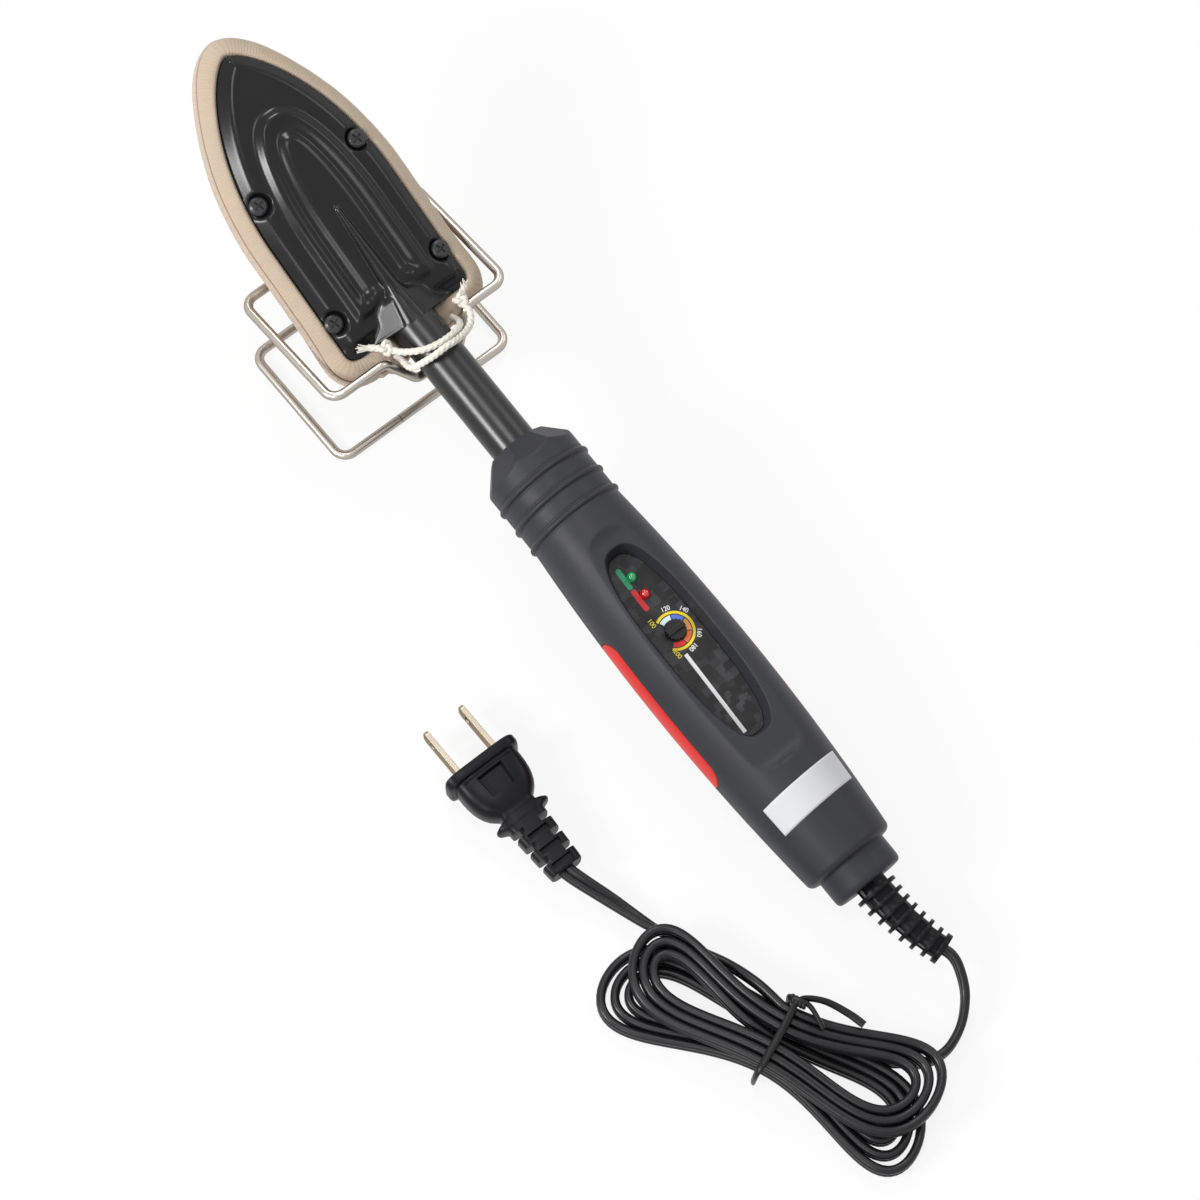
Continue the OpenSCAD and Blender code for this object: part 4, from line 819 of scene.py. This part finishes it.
def coverOutline():
    y = cover["len"] * (1 - (1 - np.linspace(0, 1, 420)) ** 1.7)  # closer towards the tip
    w = halfWidth(y)
    right = np.column_stack([w, y])
    left = np.column_stack([-w[::-1], y[::-1]])
    heel = np.column_stack([np.linspace(-w[0], w[0], 60)[1:-1], np.zeros(58)])
    return np.vstack([right, left, heel, right[:1]])


def archOutline(half, tip, rear):
    a = np.radians(np.linspace(0, 90, 160))
    x, y = half * np.cos(a) ** 0.8, cover["archY"] + (tip - cover["archY"]) * np.sin(a)
    right = np.vstack([[half, rear], np.column_stack([x, y])])
    return evenly(np.vstack([right, right[-2::-1] * [-1, 1], [half, rear]]), cover["outlineStep"])


def along(line, s):  # points of a flat line at the lengths s
    return np.column_stack([np.interp(s, soFar(line), line[:, i]) for i in (0, 1)])


def evenly(line, step):  # points at equal distances
    length = soFar(line)[-1]
    return along(line, np.linspace(0, length, int(length / step)))


def reach(points, outline):  # distance of each point to the outline
    out = np.empty(len(points))
    for i in range(0, len(points), 4000):
        part = points[i:i + 4000]
        near = ((part[:, None, :] - outline[None]) ** 2).sum(2).argmin(1)
        here = outline[near]
        best = np.full(len(part), 1e9)
        for side in (near - 1, (near + 1) % len(outline)):  # the two pieces of line that meet at the nearest point
            edge = outline[side] - here
            t = np.clip(((part - here) * edge).sum(1) / np.maximum((edge ** 2).sum(1), 1e-9), 0, 1)
            best = np.minimum(best, np.linalg.norm(part - here - t[:, None] * edge, axis=1))
        out[i:i + 4000] = best
    return out


def within(points, outline):
    x, y = points[:, 0], points[:, 1]
    inside = np.zeros(len(points), bool)
    for (x0, y0), (x1, y1) in zip(outline, np.roll(outline, -1, 0)):
        if y0 != y1:
            inside ^= ((y0 > y) != (y1 > y)) & (x < (x1 - x0) * (y - y0) / (y1 - y0) + x0)
    return inside


def ramp(x, a, b, k):  # straight rise from 0 to 1, eased at both ends
    t = (x - a) / (b - a)
    return softMin(softMax(t, 0.0 * t, k), 1 + 0.0 * t, k)


def coverHeight(p):
    x, y = p[:, 0], p[:, 1]
    k = cover
    d = reach(p, evenly(coverOutline(), k["outlineStep"]))
    z = k["top"] - k["bevelSlope"] * softMax(k["bevel"] - d, 0.0 * d, 1.0)
    arch, crown = archOutline(*k["arch"]), archOutline(*k["crown"])
    inArch = reach(p, arch) * np.where(within(p, arch), 1, -1)
    inCrown = reach(p, crown) * np.where(within(p, crown), 1, -1)
    z = z + k["archH"] * ramp(inArch, *k["archRise"])
    z = z - k["channel"] * ease(inArch, *k["channelIn"]) * ramp(y, *k["channelFrom"])
    z = z + k["crownH"] * ramp(inCrown, *k["crownRise"])
    z = z - k["heelStep"] * (1 - ease(y, 3.0, 5.2)) * ease(np.abs(x), 8.6, 10.4) * ease(d, 0.2, 1.5)
    first = np.clip((k["spineY"] - y) / (k["spineY"] - k["hoodY"]), 0, 1)
    last = np.clip((k["hoodY"] - y) / (k["hoodY"] + 0.6), 0, 1)
    r0, r1, r2 = k["spineR"]
    r = r0 + (r1 - r0) * first + (r2 - r1) * last
    axis = k["axis"][0] + (k["axis"][1] - k["axis"][0]) * first + (k["axis"][2] - k["axis"][1]) * last
    low = np.full_like(x, -20.0)
    ridge = axis + r * (1 - (np.abs(x) / r) ** 2.3) - 4 * ease(y, k["spineY"] - 0.8, k["spineY"] + 0.8)
    ridge = np.where(np.abs(x) < 1.5 * r, ridge, low)
    groove = 0.6 * np.exp(-(x / 0.7) ** 2) * (1 - ease(y, 2, 17))  # crease on top near the heel
    flank = axis + 1.32 * r - 0.86 * np.abs(x)  # flared facet at each side of the hood
    flank = np.where((y < 12.6) & (np.abs(x) > 0.55 * r), flank - 5 * ease(y, 8.5, 12.5), low)
    z = softMax(z, ridge - groove, 0.2)
    z = softMax(z, flank, 0.6)
    for sx, sy in k["screws"]:
        near = np.hypot(np.abs(x) - sx, y - sy)
        sunk = k["seat"] + np.maximum(z - k["seat"], 0) * ease(near, k["notch"] - 0.25, k["notch"] + 0.45)
        z = np.where(near < k["notch"] + 0.5, np.minimum(z, sunk), z)
    return z


def makeCover():
    rows, cols = cover["rows"], cover["cols"]
    y = cover["len"] * (1 - (1 - np.linspace(0, 1, rows)) ** 1.3)
    w = np.maximum(halfWidth(y), 0.15)
    u = np.linspace(-1, 1, cols)
    u = 0.62 * u + 0.38 * u ** 3  # closer columns along the spine
    p = np.stack([w[:, None] * u[None], np.repeat(y[:, None], cols, 1)], 2).reshape(-1, 2)
    z = coverHeight(p).reshape(rows, cols)
    for _ in range(3):  # rounds off creases finer than the grid, the rim stays
        z[1:-1] = (z[:-2] + 2 * z[1:-1] + z[2:]) / 4
        z[:, 1:-1] = (z[:, :-2] + 2 * z[:, 1:-1] + z[:, 2:]) / 4
    verts = np.column_stack([p, z.ravel()])
    faces = gridFaces(rows, cols, False)
    grid = np.arange(rows * cols).reshape(rows, cols)
    rim = np.concatenate([grid[0], grid[1:, -1], grid[-1, -2::-1], grid[-2:0:-1, 0]]).tolist()
    foot = verts[rim] * [1, 1, 0] + [0, 0, cover["skirt"]]
    n = len(verts)
    faces += [(rim[i], n + i, n + (i + 1) % len(rim), rim[(i + 1) % len(rim)]) for i in range(len(rim))]
    verts = moved(np.vstack([verts, foot]), shoeFrame)
    piece = addPiece("pressedCover", verts, faces, "cover", "iron", "cover_black", 50)
    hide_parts("top_cover")


makeCover()
print("cover pressed")

# sock
sock = {"around": 460, "seam": 9, "shaftR": 7.1, "tipFull": 0.22, "cornerFull": 0.12, "heelPull": 2.6,
    "profile": [(-0.15, -1.6), (0.08, -0.2), (0.3, 0.75), (0.85, 1.3), (1.6, 1.25), (2.6, 0.72), (3.6, -0.1),
    (4.4, -1.0), (4.8, -1.75), (4.45, -2.4), (4.85, -3.05), (5.1, -4.4), (5.1, -7), (4.95, -9.6), (4.3, -12.2),
    (2.9, -14.1), (0.7, -15.0), (-2.5, -15.1), (-6, -15.1)]}  # outwards from the cover's edge, height


def sockLoop(n):  # points round the cover, the ways out, the length so far
    line = coverOutline()
    keep = np.concatenate([[True], np.linalg.norm(np.diff(line, axis=0), axis=1) > 1e-4])
    line = line[keep]
    s = np.linspace(0, soFar(line)[-1], n + 1)[:-1]
    loop = along(line, s)
    t = unit(np.roll(loop, -3, 0) - np.roll(loop, 3, 0))
    return loop, np.column_stack([t[:, 1], -t[:, 0]]), s


def fineProfile():
    prof = through([(a, b, 0) for a, b in sock["profile"]], 4)[:, :2]
    return prof, soFar(prof)


sock["seamAt"] = float(fineProfile()[1][4 * sock["seam"]])  # distance from the hem, along the cloth


def knit(v):  # rib knit along the sock's own width and length, in millimetres
    uv = v.make("UVMap", {"uv_map": "cloth"})
    split = v.make("SeparateXYZ", None, {0: uv})
    across = Val(v.tree, split.socket.node.outputs[1])
    wobble = v.noise(400, 2) * 0.5
    rib = v.sum("SINE", (split + wobble) * (2 * pi / 0.8)) * 0.5 + 0.5
    loop = v.sum("SINE", (across + wobble) * (2 * pi / 0.55)) * 0.5 + 0.5
    fuzz, cloud = v.noise(2400, 3, 0.6), v.noise(70, 3)
    # the seam line: a brown seam that also carries the painted shadow of the hem's fold
    seam = 1 - v.steps(v.sum("ABSOLUTE", across - sock["seamAt"]), 0.25, 1.15)
    cloth = v.blend(cloud * 0.6, (0.48, 0.41, 0.33), (0.54, 0.42, 0.31))
    # the valleys of the ribs and loops are painted darker: painted shade; the fuzz darkening is random tone
    lined = v.blend((1 - rib) * 0.22 + (1 - loop) * 0.08 + fuzz * 0.12, cloth, (0.49, 0.345, 0.23))
    return {"Base Color": v.blend(seam * 0.85, lined, (0.22, 0.085, 0.04)), "Roughness": 0.86 + fuzz * 0.1,
            "Normal": v.bump(rib * 0.6 + loop * 0.25 + fuzz * 0.5, 1.1e-4, 0.8),
            "Sheen Weight": 0.25, "Sheen Roughness": 0.5, "Specular IOR Level": 0.2}


skins["knit"] = newSkin("sockKnit", knit)


def makeSock():
    loop, out, s = sockLoop(sock["around"])
    n = len(loop)
    prof, run = fineProfile()
    tip = sock["tipFull"] * np.exp(-((cover["len"] - loop[:, 1]) / 9) ** 2)
    corners = sock["cornerFull"] * np.exp(-((loop[:, 1] - 3) / 8) ** 2) * ease(np.abs(loop[:, 0]), 12, 20)
    full = 1 + tip + corners
    rings = []
    bend = radians(shoeAt["bend"])
    ripple = 0.10 * np.sin(s * 0.31) + 0.07 * np.sin(s * 0.83 + 1.3)
    for (off, z), v in zip(prof, run):
        g = off * full if off > 0 else np.full(n, off)
        x, y = loop[:, 0] + out[:, 0] * g, loop[:, 1] + out[:, 1] * g
        zz = z + ripple * ease(off, 0.4, 3)
        heel = (1 - ease(loop[:, 1], 0.2, 6)) * ease(z, -13.5, -4) * ease(off, 0.2, 2.4)
        pull = np.exp(-((x + 9.5) / 6.5) ** 2) + 0.55 * np.exp(-((x - 9.5) / 6) ** 2)
        pleat = np.sin(x * 2.1 + 0.6) * 0.45 + np.sin(x * 3.7) * 0.2
        y = y - heel * pull * (sock["heelPull"] + pleat) - heel * (0.3 + 0.4 * max(0, -z - 1))  # the heel hangs plumb
        zz = zz + heel * pull * 0.8 * ease(z, -3, 1)
        axisZ = shoeAt["drop"] / cos(bend) - y * tan(bend)
        under = axisZ - np.sqrt(np.maximum((sock["shaftR"] + 0.9) ** 2 - x ** 2, 0)) / cos(bend)
        atShaft = (np.abs(x) < sock["shaftR"] + 0.85) & (loop[:, 1] < 5) & (z > -9)
        zz = np.where(atShaft, np.minimum(zz, under - 0.25 + 0.04 * z), zz)
        rings.append(np.column_stack([x, y, zz]))
    last = rings[-1]
    for share in (0.66, 0.33, 0.02):  # closes the underside
        rings.append(np.column_stack([last[:, 0] * share, 40 + (last[:, 1] - 40) * (0.35 + 0.65 * share), last[:, 2]]))
        run = np.append(run, run[-1] + 5)
    verts = moved(np.vstack(rings), shoeFrame)
    piece = addPiece("knitSock", verts, gridFaces(len(rings), n), "knit", "iron", "sock_cloth", 70)
    uv = piece.data.uv_layers.new(name="cloth")
    for poly in piece.data.polygons:
        cols = [i % n for i in poly.vertices]
        wrap = max(cols) - min(cols) > n / 2
        for li, vi in zip(poly.loop_indices, poly.vertices):
            i, j = divmod(vi, n)
            uv.data[li].uv = (s[j] + (s[1] * n if wrap and j < n / 2 else 0), run[i])
    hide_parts("shoe_sock")
    return piece


knitSock = makeSock()
print("sock drawn over")

# drawstring
strings = {"r": 1.02, "pitch": 5.2, "wave": 0.12, "knot": (0.62, 0.78), "knotPitch": 4.0, "fray": (22, 2.6),
    "hairR": 0.16, "left": [(-9.4, -5.7, -1), (-9.8, -10.1, 2.1), (-9.4, -14.3, 5.5), (-5.5, -17.1, 10.3),
    (0, -17.7, 12.3), (5.4, -17.3, 10.5), (10.6, -14.9, 7.9), (13.4, -11.1, 7.3), (13.8, -6.7, 7.6),
    (17.2, -3.6, 7.2)], "right": [(10.2, -6.7, 0.8), (10, -10.7, 3.8), (6.5, -13.9, 8.3), (0.5, -14.9, 10.1),
    (-5, -12.9, 8.9), (-9.6, -9.3, 7.3), (-12.2, -4.9, 6.3), (-16, -1.2, 5.7)]}  # routes from the shoe's heel


def twisted(path, r, pitch, m=30):  # three plies
    a = np.arange(m) * 2 * np.pi / m
    shapes = []
    for s in soFar(path):
        ply = np.abs(np.cos(1.5 * (a - s / pitch * 2 * np.pi)))
        q = r * (0.70 + 0.34 * ply ** 0.7)
        shapes.append(np.stack([q * np.cos(a), q * np.sin(a)], 1))
    return sweep(path, np.array(shapes), carried(path, (0, 1, 0.2)))


def knotForm(at, size, r):
    t = np.linspace(0, 2 * np.pi, 90, endpoint=False)
    line = np.column_stack([np.sin(t) + 2 * np.sin(2 * t), np.cos(t) - 2 * np.cos(2 * t), -1.3 * np.sin(3 * t)]) * size
    line = np.vstack([line, line[:1]]) + at
    return twisted(line, r, strings["knotPitch"], 24)


def frayForm(at, way, count, length):
    rng = np.random.default_rng(7)
    parts = []
    way = unit(way)
    for _ in range(count):
        d = way + rng.normal(0, 0.22, 3)
        bow = rng.normal(0, 0.25, 3)
        s = np.linspace(0, 1, 7)[:, None]
        line = np.array(at) + rng.normal(0, 0.45, 3) + d * s * length * rng.uniform(0.6, 1.1) + bow * s * s
        parts.append(sweep(line, roundShape(strings["hairR"], 6), carried(line, (0, 0.3, 1))))
    return joined(parts)


def makeString(name, points, knotIndex, replaces):
    pts = np.array(shoeAt["heel"]) + np.array(points)
    path = through(pts, 14)
    i = np.arange(len(path))
    path = path + np.column_stack([np.sin(i * 0.21), np.cos(i * 0.17), np.sin(i * 0.13)]) * strings["wave"]
    end = path[-1] - path[-6]
    forms = [("", twisted(path, strings["r"], strings["pitch"])),
             ("Knot", knotForm(pts[knotIndex] + [0, 0, 0.2], *strings["knot"])),
             ("Fray", frayForm(path[-1] - end * 0.2, end, *strings["fray"]))]
    piece, knot, fray = [addPiece(name + part, *form, "cotton", "iron", "string_white", 80) for part, form in forms]
    if replaces:
        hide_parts("sock_drawstring")


makeString("drawstringLeft", strings["left"], 8, True)
makeString("drawstringRight", strings["right"], 6, False)
print("strings tied")

# CAD nodes that stay, with their finishes
kept = {"shaft_tube": "tube", "plug_blades": "blade", "side_inserts": "insert", "control_panel": "foil",
    "lamp_green": "lensGreen", "lamp_red": "lensRed", "dial_knob": "knob", "dial_spindle": "steel",
    "cover_screws": "screw", "strain_relief": "rubber", "sole_plate": "alloy", "heating_element": "steel",
    "insulation_sheets": "mica", "heater_clamp": "steel", "heat_sensor": "innerDark", "heater_leads": "sleeve",
    "mains_leads": "sleeve", "cord_clamp": "innerDark", "circuit_board": "boardGreen", "potentiometer": "innerDark",
    "triac": "innerDark", "handle_screws": "steel", "shaft_collar": "steel"}
rounded = {"plug_blades": 0.18, "side_inserts": 0.15, "control_panel": 0.22, "dial_knob": 0.12,
    "cover_screws": 0.12, "strain_relief": 0.16}  # radius of the softened edges


def dressNode(name, skin):
    node = nodes[name]
    node.data.materials.clear()
    node.data.materials.append(skins[skin])
    if name in rounded:
        weld = node.modifiers.new("weld", "WELD")
        weld.merge_threshold = 1e-6
        soft = node.modifiers.new("soft", "BEVEL")
        soft.width, soft.segments, soft.harden_normals = rounded[name] * mm, 2, False
        soft.limit_method, soft.angle_limit = "ANGLE", radians(40)


for name, skin in kept.items():
    dressNode(name, skin)
print("nodes dressed:", len(kept))
